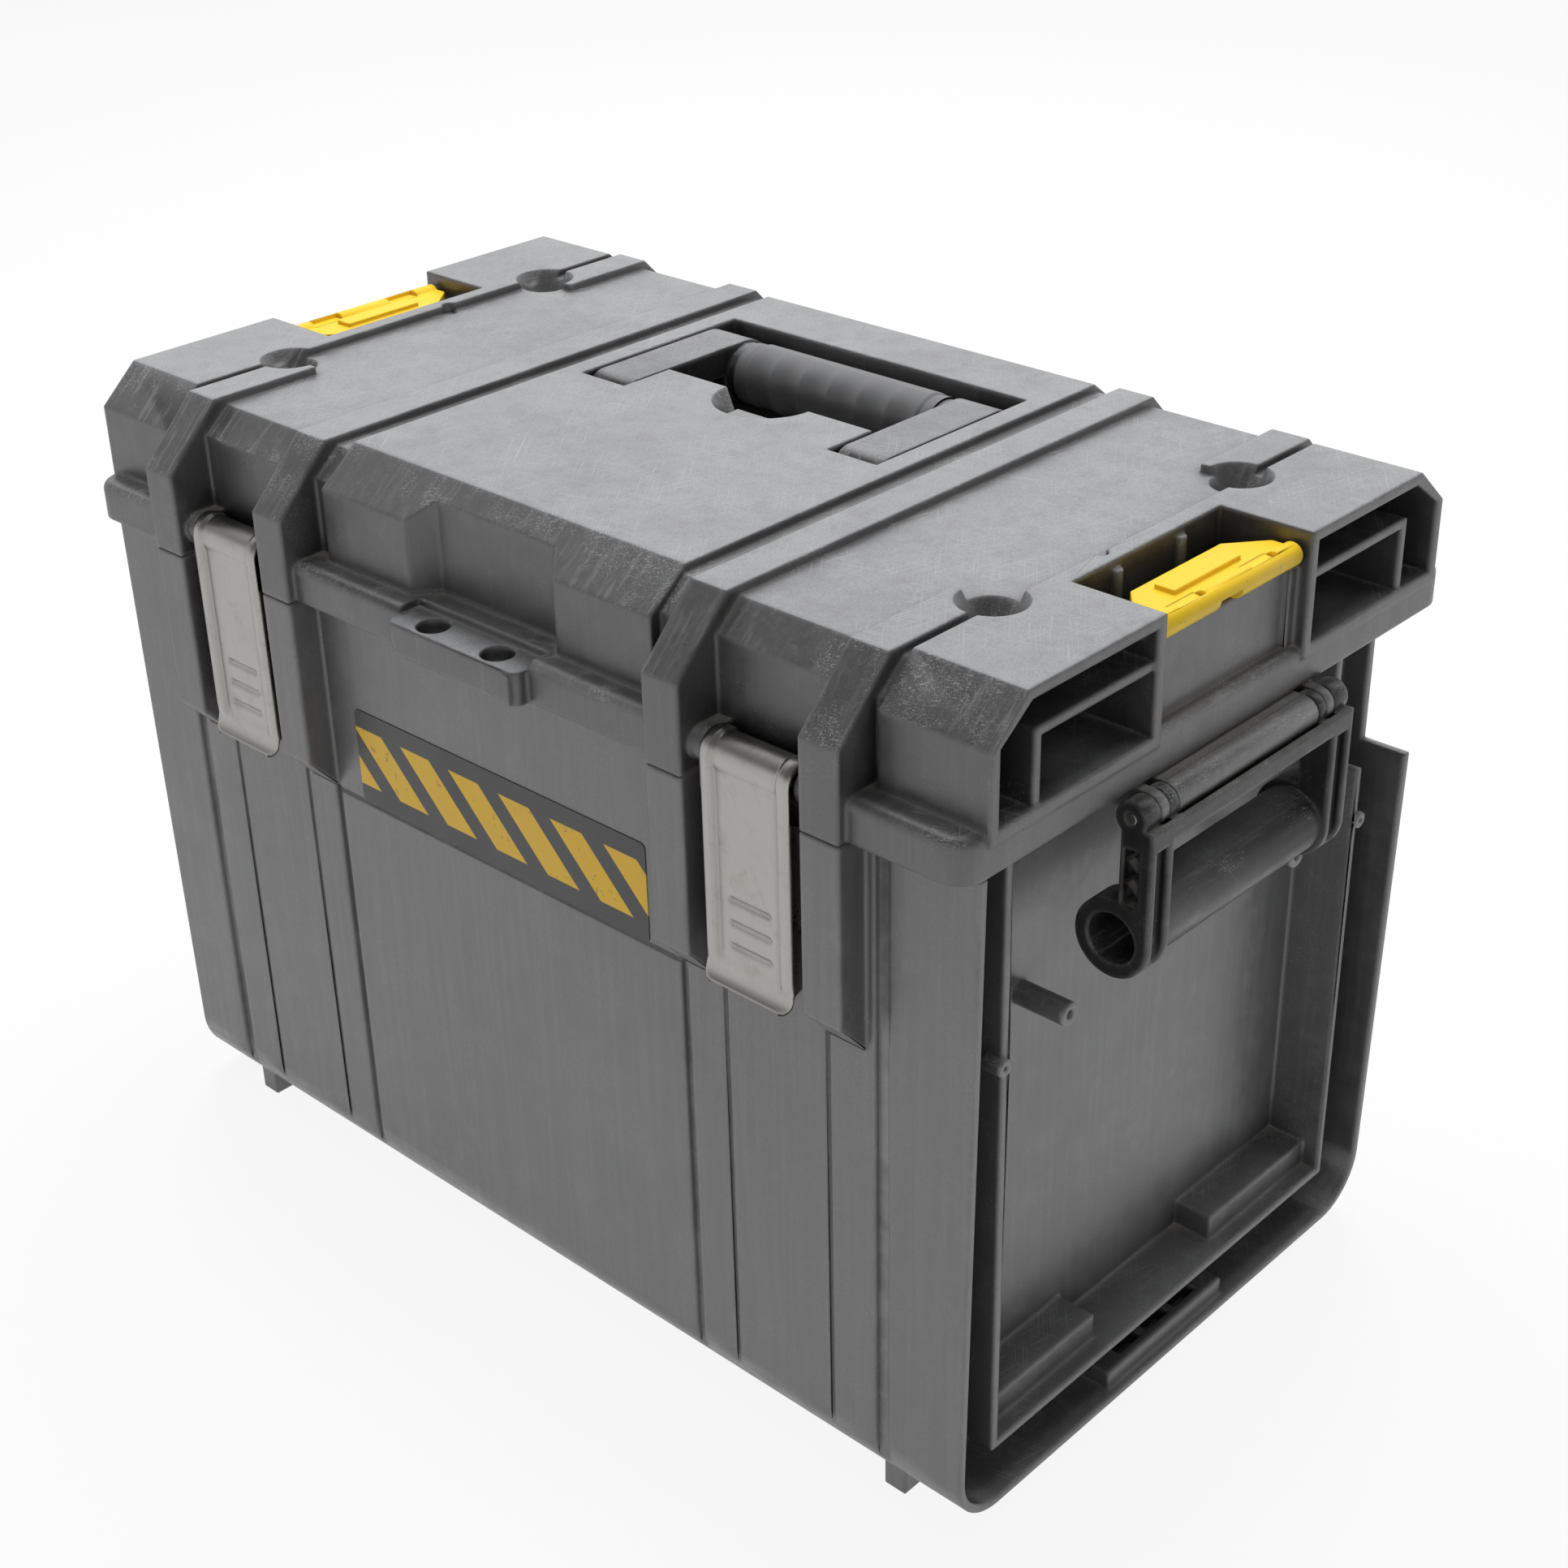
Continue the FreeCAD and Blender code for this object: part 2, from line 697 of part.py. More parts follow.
def lid_blocks(sign):
    """Two corner blocks, the deck strip beside them and the wall under the stacking latch at one end."""
    pieces = []
    for row in SIDES.values():
        x = span(sign, deck_x, block_end)
        y = span(row, block_inner, block_front)
        top_y = span(row, block_inner, block_front - size.block_slope)
        pieces.append(box("block", x, y, (flange_top - size.flange_edge - BITE, block_slope_z)))
        pieces.append(wedge("block_slope", x, y, (block_slope_z, total_height), x, top_y))
    pieces.append(box("deck", span(sign, deck_x, deck_wall_x), middle(block_front - size.block_slope),
                      (flange_top, total_height)))
    pieces.append(box("trough_base", span(sign, deck_wall_x - BITE, end_wall_x), middle(block_inner + BITE),
                      (lid_bottom, trough_floor)))
    pieces.append(box("end_wall", span(sign, deck_wall_x + size.trough_width, end_wall_x),
                      middle(block_inner + BITE), (lid_bottom, end_wall_top)))
    for row in SIDES.values():
        pieces.append(rod("deck_post", "z", (deck_wall_x * sign, size.post_y * row), size.post_radius,
                          (trough_floor - BITE, panel_top)))
        pieces.append(box("pilaster", span(sign, end_wall_x - BITE, end_wall_x + size.pilaster_proud),
                          span(row, block_inner - size.pilaster_width, block_inner + BITE),
                          (lid_bottom, end_wall_top)))
    return pieces


def padlock_tab():
    """Tab with a small hook on the front of the flange."""
    tab_y = -(half_depth + size.tab_reach)
    tab = box("padlock_tab", middle(size.tab_width / 2), (tab_y, -(half_depth - PAST)),
              (lid_bottom, flange_top - size.tab_drop))
    soft = rounded("padlock_tab_round", tab, size.tab_round, "z")
    hook = box("padlock_hook", (size.hook_x - size.hook_width / 2, size.hook_x + size.hook_width / 2),
               (tab_y - size.hook_reach, -half_depth),
               (lid_bottom, flange_top - size.tab_drop - size.hook_reach))
    return [soft, hook]


def lid_lugs(sign):
    """Bosses that hold the latch pin, and the lid's middle knuckle of a rear hinge."""
    pieces = []
    for low, high in ((inner_rib_end - BITE, bay_x - latch_half - size.side_gap),
                      (bay_x + latch_half + size.side_gap, outer_rib_x + BITE)):
        x = span(sign, low, high)
        pieces.append(rod("latch_lug", "x", (latch_axis_y, latch_axis_z), size.latch_lug_radius, x))
        pieces.append(box("latch_lug_web", x, (latch_axis_y, -(bay_face - BITE)),
                          (latch_axis_z - size.latch_lug_radius,
                           latch_axis_z + size.latch_lug_radius)))
    knuckle = span(sign, hinge_low + size.hinge_knuckle + size.side_gap,
                   hinge_high - size.hinge_knuckle - size.side_gap)
    pieces.append(rod("lid_knuckle", "x", (hinge_y, hinge_z), size.hinge_radius, knuckle))
    pieces.append(box("lid_knuckle_web", knuckle, (half_depth - PAST, hinge_y),
                      (lid_bottom, hinge_z + size.hinge_radius)))
    return pieces


def lid_outside():
    pieces = [lid_flange()]
    pieces += ridge("dome", middle(deck_wall_x), bay_face, bay_face, panel_top, bay_slope_z, size.bay_slope)
    pieces += ridge("centre_panel", middle(centre_half), centre_front, centre_front,
                    total_height, centre_slope_z, size.centre_slope)
    rib_slope_z = size.tub_height + size.rib_face
    for sign in SIDES.values():
        for low, high in RIBS:
            pieces += ridge("lid_rib", span(sign, low, high), rib_front, half_depth,
                            total_height, rib_slope_z, size.rib_slope)
        pieces += lid_blocks(sign)
        pieces += lid_lugs(sign)
    pieces += padlock_tab()
    return join("lid_outside", pieces)


def roof_housings():
    """Walls and floors of the handle well and the dimples where they hang into the lid's hollow."""
    wall = size.well_wall
    low = well_floor - wall
    outer = size.well_half_width + wall
    pieces = [box("well_house", middle(outer), (size.well_front - wall, size.well_back + wall),
                  (low, total_height))]
    for sign in SIDES.values():
        pieces.append(box("slot_house", span(sign, size.slot_inner - wall, outer),
                          (size.slot_front - wall, size.well_front), (low, total_height)))
        for row in SIDES.values():
            pieces.append(rod("dimple_house", "z", (outer_rib_end * sign, size.dimple_y * row),
                              size.dimple_radius, (panel_top - size.dimple_depth - wall, total_height)))
    pieces.append(rod("scoop_house", "z", (0.0, size.well_front), size.scoop_radius + wall,
                      (low, total_height)))
    return join("roof_housings", pieces)


def lid_hollows():
    """The lid's inside, the open ends of the corner blocks and the relief under the end flanges."""
    hollow_y = centre_front - size.pocket_depth - size.wall
    hollow_x = deck_wall_x - size.wall
    top = panel_top - size.wall
    slope_z = bay_slope_z - size.wall
    hollow = join("lid_hollow", [
        box("hollow_low", middle(hollow_x), middle(hollow_y), (lid_bottom - BITE, slope_z)),
        wedge("hollow_high", middle(hollow_x), middle(hollow_y), (slope_z, top), middle(hollow_x),
              middle(hollow_y - size.bay_slope)),
    ])
    cuts = [take("lid_inside", hollow, [roof_housings()])]
    for sign in SIDES.values():
        relief = span(sign, end_panel_x + size.wall, half_length - size.wall - BITE)
        cuts.append(box("flange_relief", relief, middle(half_depth - size.overhang + BITE),
                        (lid_bottom - BITE, flange_top - size.wall - size.flange_edge / 2)))
        cuts.append(box("trough_relief", span(sign, end_panel_x + size.wall, end_wall_x - size.wall),
                        middle(block_inner - size.wall), (lid_bottom - BITE, trough_floor - size.wall)))
        for row in SIDES.values():
            x = span(sign, deck_x + size.block_back, block_end + BITE)
            outer = block_front - size.block_wall
            y = span(row, block_inner + size.block_wall, outer)
            top_y = span(row, block_inner + size.block_wall, outer - size.block_slope + size.block_wall / 2)
            cuts.append(box("block_hollow", x, y, (flange_top, block_slope_z)))
            cuts.append(wedge("block_hollow_slope", x, y,
                              (block_slope_z, total_height - size.block_wall), x, top_y))
    return cuts


def lid_surface_cuts():
    """Handle well, finger scoop, front pocket, dimples, drain holes and rib gaps in the top of the lid."""
    top = total_height + BITE
    cuts = [
        box("well", middle(size.well_half_width), (size.well_front, size.well_back), (well_floor, top)),
        rod("scoop", "z", (0.0, size.well_front), size.scoop_floor_radius, (scoop_floor, top),
            size.scoop_radius),
        front_pocket(),
        box("tab_top", middle(size.tab_width / 2), (-(half_depth + PAST), -centre_front),
            (flange_top - size.tab_drop, flange_top + BITE)),
    ]
    for sign in SIDES.values():
        cuts.append(box("slot", span(sign, size.slot_inner, size.well_half_width),
                        (size.slot_front, size.well_front + BITE), (well_floor, top)))
        cuts.append(box("rib_gap", span(sign, outer_rib_x - BITE, outer_rib_end + BITE),
                        middle(size.dimple_y), (panel_top, top)))
        cuts.append(rod("drain", "z", (deck_x * sign, -size.drain_y * sign), size.drain_radius,
                        (panel_top - size.drain_depth, top)))
        for row in SIDES.values():
            cuts.append(rod("dimple", "z", (outer_rib_end * sign, size.dimple_y * row), size.dimple_floor,
                            (panel_top - size.dimple_depth, top), size.dimple_radius))
        cuts.append(rod("padlock_hole", "z", (size.padlock_spacing / 2 * sign,
                                              -(half_depth + size.tab_reach - size.padlock_setback)),
                        size.padlock_radius, (lid_bottom - BITE, flange_top + BITE)))
        for low in (hinge_low, hinge_high - size.hinge_knuckle):
            notch_x = span(sign, low - size.side_gap, low + size.hinge_knuckle + size.side_gap)
            cuts.append(box("hinge_notch", notch_x, (half_depth - size.hinge_notch, half_depth + PAST),
                            (lid_bottom - PAST, flange_top + BITE)))
    return cuts


def front_pocket():
    """Recess behind the padlock tab whose side walls lean outwards."""
    body = doc.addObject("PartDesign::Body", "front_pocket")
    back = -(centre_front - size.pocket_depth)
    mouth = -(centre_front + BITE)
    outline = sketch_outline(body, "XY_Plane", [
        (-size.pocket_front / 2, mouth),
        (size.pocket_front / 2, mouth),
        (size.pocket_back / 2, back),
        (-size.pocket_back / 2, back),
    ])
    pad = body.newObject("PartDesign::Pad", "front_pocket_pad")
    pad.Profile = outline
    bind(pad, "Length", total_height - flange_top)
    bind(body, ".Placement.Base.z", flange_top)
    return body


def block_ribs(sign):
    """Small rib box inside each hollow corner block."""
    pieces = []
    for row in SIDES.values():
        x = span(sign, deck_x + size.block_back - BITE, block_end - size.block_proud)
        pieces.append(box("block_rib_upright", x,
                          span(row, block_rib_y - size.block_rib_wall, block_rib_y),
                          (flange_top - BITE, block_rib_z)))
        pieces.append(box("block_rib_shelf", x, span(row, block_inner + BITE, block_rib_y),
                          (block_rib_z - size.block_rib_wall, block_rib_z)))
    return pieces


def lid_bores():
    """Holes for the lid's pins, and the groove that holds the seal."""
    bores = []
    for sign in SIDES.values():
        bores.append(rod("latch_bore", "x", (latch_axis_y, latch_axis_z),
                         size.latch_pin_radius + size.pin_clearance,
                         span(sign, inner_rib_end - PAST, outer_rib_x + PAST)))
        bores.append(rod("lid_hinge_bore", "x", (hinge_y, hinge_z),
                         size.hinge_pin_radius + size.pin_clearance,
                         span(sign, hinge_low - BITE, hinge_high + BITE)))
        bores.append(rod("stack_bore", "y", (stack_x * sign, stack_axis_z),
                         size.stack_pin_radius + size.pin_clearance,
                         middle(block_inner + size.stack_pin_seat + size.pin_clearance)))
        bores.append(rod("handle_bore", "x", (pivot_y, pivot_z), size.handle_pin_radius + size.pin_clearance,
                         span(sign, size.slot_inner - size.handle_pin_seat - size.pin_clearance,
                              size.well_half_width + size.handle_pin_seat + size.pin_clearance)))
    bores.append(seal_ring("seal_groove", (lid_bottom - BITE, lid_bottom + size.seal_depth)))
    return bores


def make_lid():
    hollowed = take("lid_hollowed", lid_outside(), lid_hollows() + lid_surface_cuts())
    pieces = [hollowed]
    for sign in SIDES.values():
        pieces += block_ribs(sign)
    pieces.append(box("scoop_tab", middle(size.scoop_tab_width / 2),
                      (size.scoop_tab_front, size.scoop_tab_front + size.scoop_tab_depth),
                      (scoop_floor - BITE, total_height - size.scoop_tab_drop)))
    return take("lid", join("lid_joined", pieces), lid_bores())


def seal_ring(name, z):
    """Rectangular ring over the middle of the tub's walls."""
    mid_x = end_panel_x - size.wall / 2
    mid_y = wall_y - size.wall / 2
    half = size.seal_width / 2
    outer = box(f"{name}_outer", middle(mid_x + half), middle(mid_y + half), z)
    inner = box(f"{name}_inner", middle(mid_x - half), middle(mid_y - half), (z[0] - BITE, z[1] + BITE))
    return take(name, outer, [inner])


def make_latch(side, sign):
    """Pressed steel latch plate: rolled top round its pin, side flanges, raised field and finger tab."""
    sheet = size.latch_sheet
    x = (bay_x * sign - latch_half, bay_x * sign + latch_half)
    front = -latch_front
    low = latch_bottom
    axis = (latch_axis_y, latch_axis_z)
    field = size.latch_field_width / 2
    pieces = [
        box("latch_face", x, (front, front + sheet), (low, latch_axis_z + BITE)),
        wedge("latch_tab", x, (front - size.latch_tab_flare, front - size.latch_tab_flare + sheet),
              (low - size.latch_tab, low), x, (front, front + sheet)),
        box("latch_field", (bay_x * sign - field, bay_x * sign + field),
            (front - size.latch_field_height, front + BITE),
            (low + size.latch_field_margin, latch_axis_z - size.latch_field_drop)),
    ]
    roll = rod("latch_roll", "x", axis, size.latch_roll, x)
    roll_inside = rod("latch_roll_inside", "x", axis, size.latch_roll - sheet, (x[0] + sheet, x[1] - sheet))
    below_axis = (latch_axis_z - size.latch_roll - BITE, latch_axis_z)
    roll_open = box("latch_roll_open", (x[0] + sheet, x[1] - sheet),
                    (front + sheet, latch_axis_y + size.latch_roll + BITE), below_axis)
    roll_lower = box("latch_roll_lower", (x[0] - BITE, x[1] + BITE),
                     (front - BITE, front + sheet), below_axis)
    pieces.append(take("latch_rolled", roll, [roll_inside, roll_open, roll_lower]))
    for edge in ((x[0], x[0] + sheet), (x[1] - sheet, x[1])):
        pieces.append(box("latch_flange", edge, (front, front + size.latch_flange_depth),
                          (low, size.tub_height - size.latch_flange_drop)))
    through = (x[0] - BITE, x[1] + BITE)
    catch_axis = (catch_pin_y, catch_pin_z)
    grooves = [
        rod("latch_pin_bore", "x", axis, size.latch_pin_radius + size.pin_clearance, through),
        rod("catch_pin_bore", "x", catch_axis, size.catch_pin_radius + size.pin_clearance, through),
    ]
    half = size.latch_groove_width / 2
    for number in range(LATCH_GROOVES):
        start = low + size.latch_groove_start + size.latch_groove_pitch * number
        grooves.append(box("latch_groove", (bay_x * sign - half, bay_x * sign + half),
                           (front - size.latch_field_height - BITE, front),
                           (start, start + size.latch_groove_height)))
    plate = take(f"latch_plate_{side}", join("latch_joined", pieces), grooves)
    pivot = rod(f"latch_pivot_pin_{side}", "x", axis, size.latch_pin_radius,
                span(sign, inner_rib_end - PAST + BITE, outer_rib_x + PAST - BITE))
    catch = rod(f"latch_catch_pin_{side}", "x", catch_axis, size.catch_pin_radius, x)
    return [plate, pivot, catch]


def make_top_handle():
    """Folding carry handle: two flat arms, a core between them, a ribbed rubber grip and two pivot pins."""
    low = pivot_z + size.handle_pivot_radius - size.handle_arm_thick
    back = size.grip_y + size.grip_radius
    pieces = [rod("handle_core", "x", (size.grip_y, grip_z), size.grip_core_radius, middle(arm_inner + BITE))]
    bores = []
    pins = []
    for side, sign in SIDES.items():
        x = span(sign, arm_inner, arm_outer)
        pieces.append(rod("handle_eye", "x", (pivot_y, pivot_z), size.handle_pivot_radius, x))
        pieces.append(box("handle_arm", x, (pivot_y, size.grip_y), (low, pivot_z + size.handle_pivot_radius)))
        pieces.append(rod("handle_end", "x", (size.grip_y, grip_z), size.grip_radius, x))
        pieces.append(rod("handle_collar", "x", (size.grip_y, grip_z), size.collar_radius,
                          span(sign, size.grip_length / 2, arm_inner + BITE)))
        bores.append(rod("handle_eye_bore", "x", (pivot_y, pivot_z),
                         size.handle_pin_radius + size.pin_clearance,
                         span(sign, arm_inner - BITE, arm_outer + BITE)))
        pins.append(rod(f"top_handle_pin_{side}", "x", (pivot_y, pivot_z), size.handle_pin_radius,
                        span(sign, size.slot_inner - size.handle_pin_seat,
                             size.well_half_width + size.handle_pin_seat)))
    frame = take("top_handle_frame", join("handle_joined", pieces), bores)
    return [frame, make_grip(), *pins]


def make_grip():
    """Rubber sleeve turned about the handle's core, with finger grooves along it."""
    body = doc.addObject("PartDesign::Body", "top_handle_grip")
    half = size.grip_length / 2
    bore = size.grip_core_radius + size.pin_clearance
    step = size.grip_length / (2 * GRIP_BANDS)
    points = [(half, bore), (-half, bore)]
    for number in range(2 * GRIP_BANDS + 1):
        dip = size.grip_radius - size.grip_rib_depth if number % 2 else size.grip_radius
        points.append((step * number - half, dip))
    outline = sketch_outline(body, "XY_Plane", points)
    turned = body.newObject("PartDesign::Revolution", "grip_turned")
    turned.Profile = outline
    turned.ReferenceAxis = (outline, ["H_Axis"])
    turned.Angle = 360
    bind(body, ".Placement.Base.y", size.grip_y)
    bind(body, ".Placement.Base.z", grip_z)
    return body


def make_bail(side, sign):
    """Bail handle at one end: two channel arms, a stop bar, a hollow grip and the rod it turns on."""
    def along(low, high):
        return span(sign, bail_x + low, bail_x + high)

    axis = (bail_x * sign, bail_z)
    grip = ((bail_x - size.bail_grip_in) * sign, bail_z - size.bail_grip_drop)
    arm_disc = size.bail_grip_in + size.bail_arm_outer
    arm_low = bail_end - size.bail_arm_width
    bar_low = bail_z - size.crossbar_drop
    pieces = [
        rod("bail_grip", "y", grip, size.bail_grip_radius, middle(bail_end)),
        box("bail_bar", along(size.crossbar_inner, size.bail_arm_outer), middle(bail_end),
            (bar_low, bar_low + size.crossbar_web)),
        box("bail_bar_lip", along(size.bail_arm_outer - size.crossbar_lip, size.bail_arm_outer),
            middle(bail_end), (bar_low, bar_low + size.crossbar_height)),
    ]
    cuts = []
    truss_bars = []
    truss_x = (size.bail_truss_rib - size.bail_arm_inner,
               size.bail_arm_outer - size.bail_channel_depth - size.bail_truss_rib)
    truss_z = (grip[1] + arm_disc, bar_low - size.bail_truss_rib)
    bar_height = (truss_z[1] - truss_z[0]) / TRUSS_BARS
    for row in SIDES.values():
        arm = span(row, arm_low, bail_end)
        cuts.append(box("truss_recess", along(*truss_x),
                        span(row, bail_end - size.bail_truss_depth, bail_end + BITE), truss_z))
        bar_y = span(row, bail_end - size.bail_truss_depth, bail_end - size.bail_truss_margin)
        starts = (truss_x[0], truss_x[1] - size.bail_truss_rib)
        for number in range(TRUSS_BARS):
            foot = starts[number % 2]
            head = starts[(number + 1) % 2]
            truss_bars.append(wedge(
                "truss_bar", along(foot, foot + size.bail_truss_rib), bar_y,
                (truss_z[0] + bar_height * number, truss_z[0] + bar_height * (number + 1)),
                along(head, head + size.bail_truss_rib), bar_y))
        pieces.append(rod("bail_arm_end", "y", grip, arm_disc, arm))
        pieces.append(box("bail_arm", along(-size.bail_arm_inner, size.bail_arm_outer), arm,
                          (bail_z - size.bail_grip_drop, bail_z - size.bail_knuckle)))
        for ring in (span(row, ring_low, ring_high), span(row, eye_low, bail_end)):
            pieces.append(rod("bail_ring", "y", axis, size.bail_knuckle, ring))
            pieces.append(box("bail_ring_web", along(-size.bail_arm_inner, size.bail_arm_outer), ring,
                              (bar_low, bail_z - size.bail_knuckle / 2)))
        cuts.append(rod("bail_keeper_room", "y", axis, size.bail_knuckle + size.bail_clearance,
                        span(row, ring_high, eye_low)))
        cuts.append(rod("bail_end_bore", "y", grip, size.bail_bore_radius,
                        span(row, bail_end - size.bail_bore_depth, bail_end + BITE)))
        channel_x = along(size.bail_arm_outer - size.bail_channel_depth, size.bail_arm_outer + BITE)
        cuts.append(box("bail_channel", channel_x,
                        span(row, arm_low + size.bail_flange, bail_end - size.bail_flange),
                        (grip[1] - arm_disc, bar_low - BITE)))
    cuts.append(rod("bail_barrel_room", "y", axis, size.bail_knuckle + size.bail_clearance, middle(ring_low)))
    cuts.append(rod("bail_rod_room", "y", axis, size.bail_rod_radius + size.pin_clearance,
                    middle(bail_end + BITE)))
    carved = take("bail_carved", join("bail_joined", pieces), cuts)
    handle = join(f"side_handle_{side}", [carved, *truss_bars])
    hinge_rod = rod(f"side_handle_rod_{side}", "y", axis, size.bail_rod_radius, middle(bail_end))
    return [handle, hinge_rod]


def make_stack_latch(side, sign):
    """Stacking latch between the corner blocks: a shouldered plate on a split barrel, with its pin."""
    half = size.stack_latch_width / 2
    neck = size.stack_neck_width / 2
    body = doc.addObject("PartDesign::Body", f"stack_plate_{side}")
    near = stack_x * sign
    shoulder = (stack_x - size.stack_shoulder) * sign
    far = (stack_x - size.stack_reach) * sign
    outline = sketch_outline(body, "XY_Plane", [
        (near, -half), (near, half), (shoulder, half), (far, neck), (far, -neck), (shoulder, -half),
    ])
    pad = body.newObject("PartDesign::Pad", f"stack_plate_pad_{side}")
    pad.Profile = outline
    bind(pad, "Length", size.stack_plate)
    top = stack_axis_z + size.stack_barrel
    plate_top = top - size.stack_ridge
    bind(body, ".Placement.Base.z", plate_top - size.stack_plate)
    axis = (stack_x * sign, stack_axis_z)
    barrel = rod("stack_barrel", "y", axis, size.stack_barrel, middle(half))
    ridge_start = stack_x - size.stack_reach + size.stack_ridge_margin
    ridge_bar = box("stack_ridge", span(sign, ridge_start, ridge_start + size.stack_ridge_width),
                    middle(size.stack_ridge_length / 2), (plate_top - BITE, top))
    notch_half = size.stack_notch / 2
    cuts = [
        rod("stack_pin_bore", "y", axis, size.stack_pin_radius + size.pin_clearance, middle(half + BITE)),
        box("stack_notch", span(sign, stack_x - size.stack_barrel - BITE, stack_x + size.stack_barrel + BITE),
            span(-sign, size.stack_notch_shift - notch_half, size.stack_notch_shift + notch_half),
            (stack_axis_z - size.stack_barrel - BITE, stack_axis_z)),
    ]
    for row in SIDES.values():
        pocket_high = stack_x + size.stack_pocket_front
        pocket_x = span(sign, pocket_high - size.stack_pocket_width, pocket_high)
        cuts.append(box("stack_pocket", pocket_x,
                        span(row, size.stack_pocket_y - size.stack_pocket_length / 2,
                             size.stack_pocket_y + size.stack_pocket_length / 2),
                        (stack_axis_z + size.stack_pin_radius + size.stack_pocket_wall, top + BITE)))
    latch = take(f"side_latch_{side}", join("stack_joined", [body, barrel, ridge_bar]), cuts)
    pin = rod(f"side_latch_pin_{side}", "y", axis, size.stack_pin_radius,
              middle(block_inner + size.stack_pin_seat))
    return [latch, pin]


def make_label():
    """Blank label on the front wall."""
    block = box("label_block", middle(label_half), (-(wall_y + size.label_thick), -wall_y),
                (label_low, label_low + size.label_height))
    return rounded("name_label", block, size.label_round, "y")


def make_parts():
    parts = [make_tub(), make_lid(), make_label()]
    seal_z = (size.tub_height + size.seal_clearance, lid_bottom + size.seal_depth)
    parts.append(seal_ring("lid_seal", seal_z))
    for side, sign in SIDES.items():
        parts.append(rod(f"hinge_pin_{side}", "x", (hinge_y, hinge_z), size.hinge_pin_radius,
                         span(sign, hinge_low, hinge_high)))
        parts += make_latch(side, sign)
        parts += make_bail(side, sign)
        parts += make_stack_latch(side, sign)
    return parts + make_top_handle()


parts = make_parts()
for part in parts:
    part.Label = part.Name
doc.recompute()

for thing in doc.Objects:
    if "Invalid" in thing.State or "Error" in thing.State:
        raise RuntimeError(f"{thing.Name} failed: {thing.State}")
for part in parts:
    if part.Shape.isNull() or not part.Shape.isValid():
        raise RuntimeError(f"{part.Label} has no valid shape")

os.makedirs("parts", exist_ok=True)
for part in parts:
    part.Shape.exportStep(f"parts/{part.Label}.step")
    print(part.Label, len(part.Shape.Solids), round(part.Shape.Volume / 1000.0, 2))
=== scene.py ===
import json
import math

import bpy
from mathutils import Matrix, Vector


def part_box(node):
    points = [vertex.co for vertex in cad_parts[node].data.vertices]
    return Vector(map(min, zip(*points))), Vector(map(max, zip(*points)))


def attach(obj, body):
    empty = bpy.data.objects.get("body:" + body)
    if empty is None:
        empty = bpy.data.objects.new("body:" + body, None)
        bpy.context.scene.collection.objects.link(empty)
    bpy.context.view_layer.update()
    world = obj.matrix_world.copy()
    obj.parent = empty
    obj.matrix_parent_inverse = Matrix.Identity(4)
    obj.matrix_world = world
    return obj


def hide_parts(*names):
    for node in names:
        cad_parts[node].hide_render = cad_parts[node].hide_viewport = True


# Looks of a stackable tool box: worn moulded shell, steel draw latches, rubber grip, yellow stacking latches.
# Metres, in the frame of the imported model: +X along the box, -Y the latch side, +Z up.

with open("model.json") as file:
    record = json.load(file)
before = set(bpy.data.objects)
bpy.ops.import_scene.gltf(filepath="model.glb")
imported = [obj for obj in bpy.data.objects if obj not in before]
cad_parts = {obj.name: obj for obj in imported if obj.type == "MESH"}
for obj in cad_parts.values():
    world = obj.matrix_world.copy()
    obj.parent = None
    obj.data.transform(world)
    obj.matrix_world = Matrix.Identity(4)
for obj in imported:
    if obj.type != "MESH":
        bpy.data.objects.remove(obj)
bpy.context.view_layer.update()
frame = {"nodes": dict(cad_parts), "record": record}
nodes = frame["nodes"]

MM = 0.001
SIDES = ("left", "right")

# Camera, solved from the photograph's own right angles; frame side and focal length in pixels
PHOTO_SIDE = 1932
PHOTO_FOCAL = 3057.94
SENSOR = 36.0
CAMERA_PLACE = (0.75950, -0.77074, 0.80623)
CAMERA_FORWARD = (-0.60374, 0.63568, -0.48106)
CAMERA_RIGHT = (0.725, 0.688, -0.0259)
CLIP_NEAR = 0.02
CLIP_FAR = 50.0

# Tints and shared levels of the materials
COOL = (0.985, 0.995, 1.02)
DUSTY = (1.06, 1.0, 0.9)
ZINC = (1.0, 0.985, 0.93)
STAINED = (1.0, 0.95, 0.8)
PALE = 0.36
BRIGHTEST = 0.95
SHELL_IOR = 1.6
SHADE_SAMPLES = 4
SCRATCH_LOW = 0.68
SCRATCH_HIGH = 0.74

# Colours of the stacking latches and of the label's stripes
LATCH_YELLOW = ((0.98, 0.63, 0.02, 1.0), (1.0, 0.68, 0.03, 1.0))
YELLOW_GRIME = (0.32, 0.16, 0.02, 1.0)
YELLOW_RUBBED = (1.0, 0.82, 0.3, 1.0)
YELLOW_SPECK = (0.4, 0.22, 0.04, 1.0)
STRIPE_INK = ((0.95, 0.56, 0.02, 1.0), (1.0, 0.63, 0.03, 1.0))
FILM_GREYS = (0.045, 0.075)
STRIPE_PITCH = 17.0 * MM
BAND_FULL = 14.8 * MM
BAND_END = 15.4 * MM

# Softened edges of the CAD nodes
WELD_REACH = 0.01 * MM
SHARP_ANGLE = 35.0
SOFT_SEGMENTS = 2


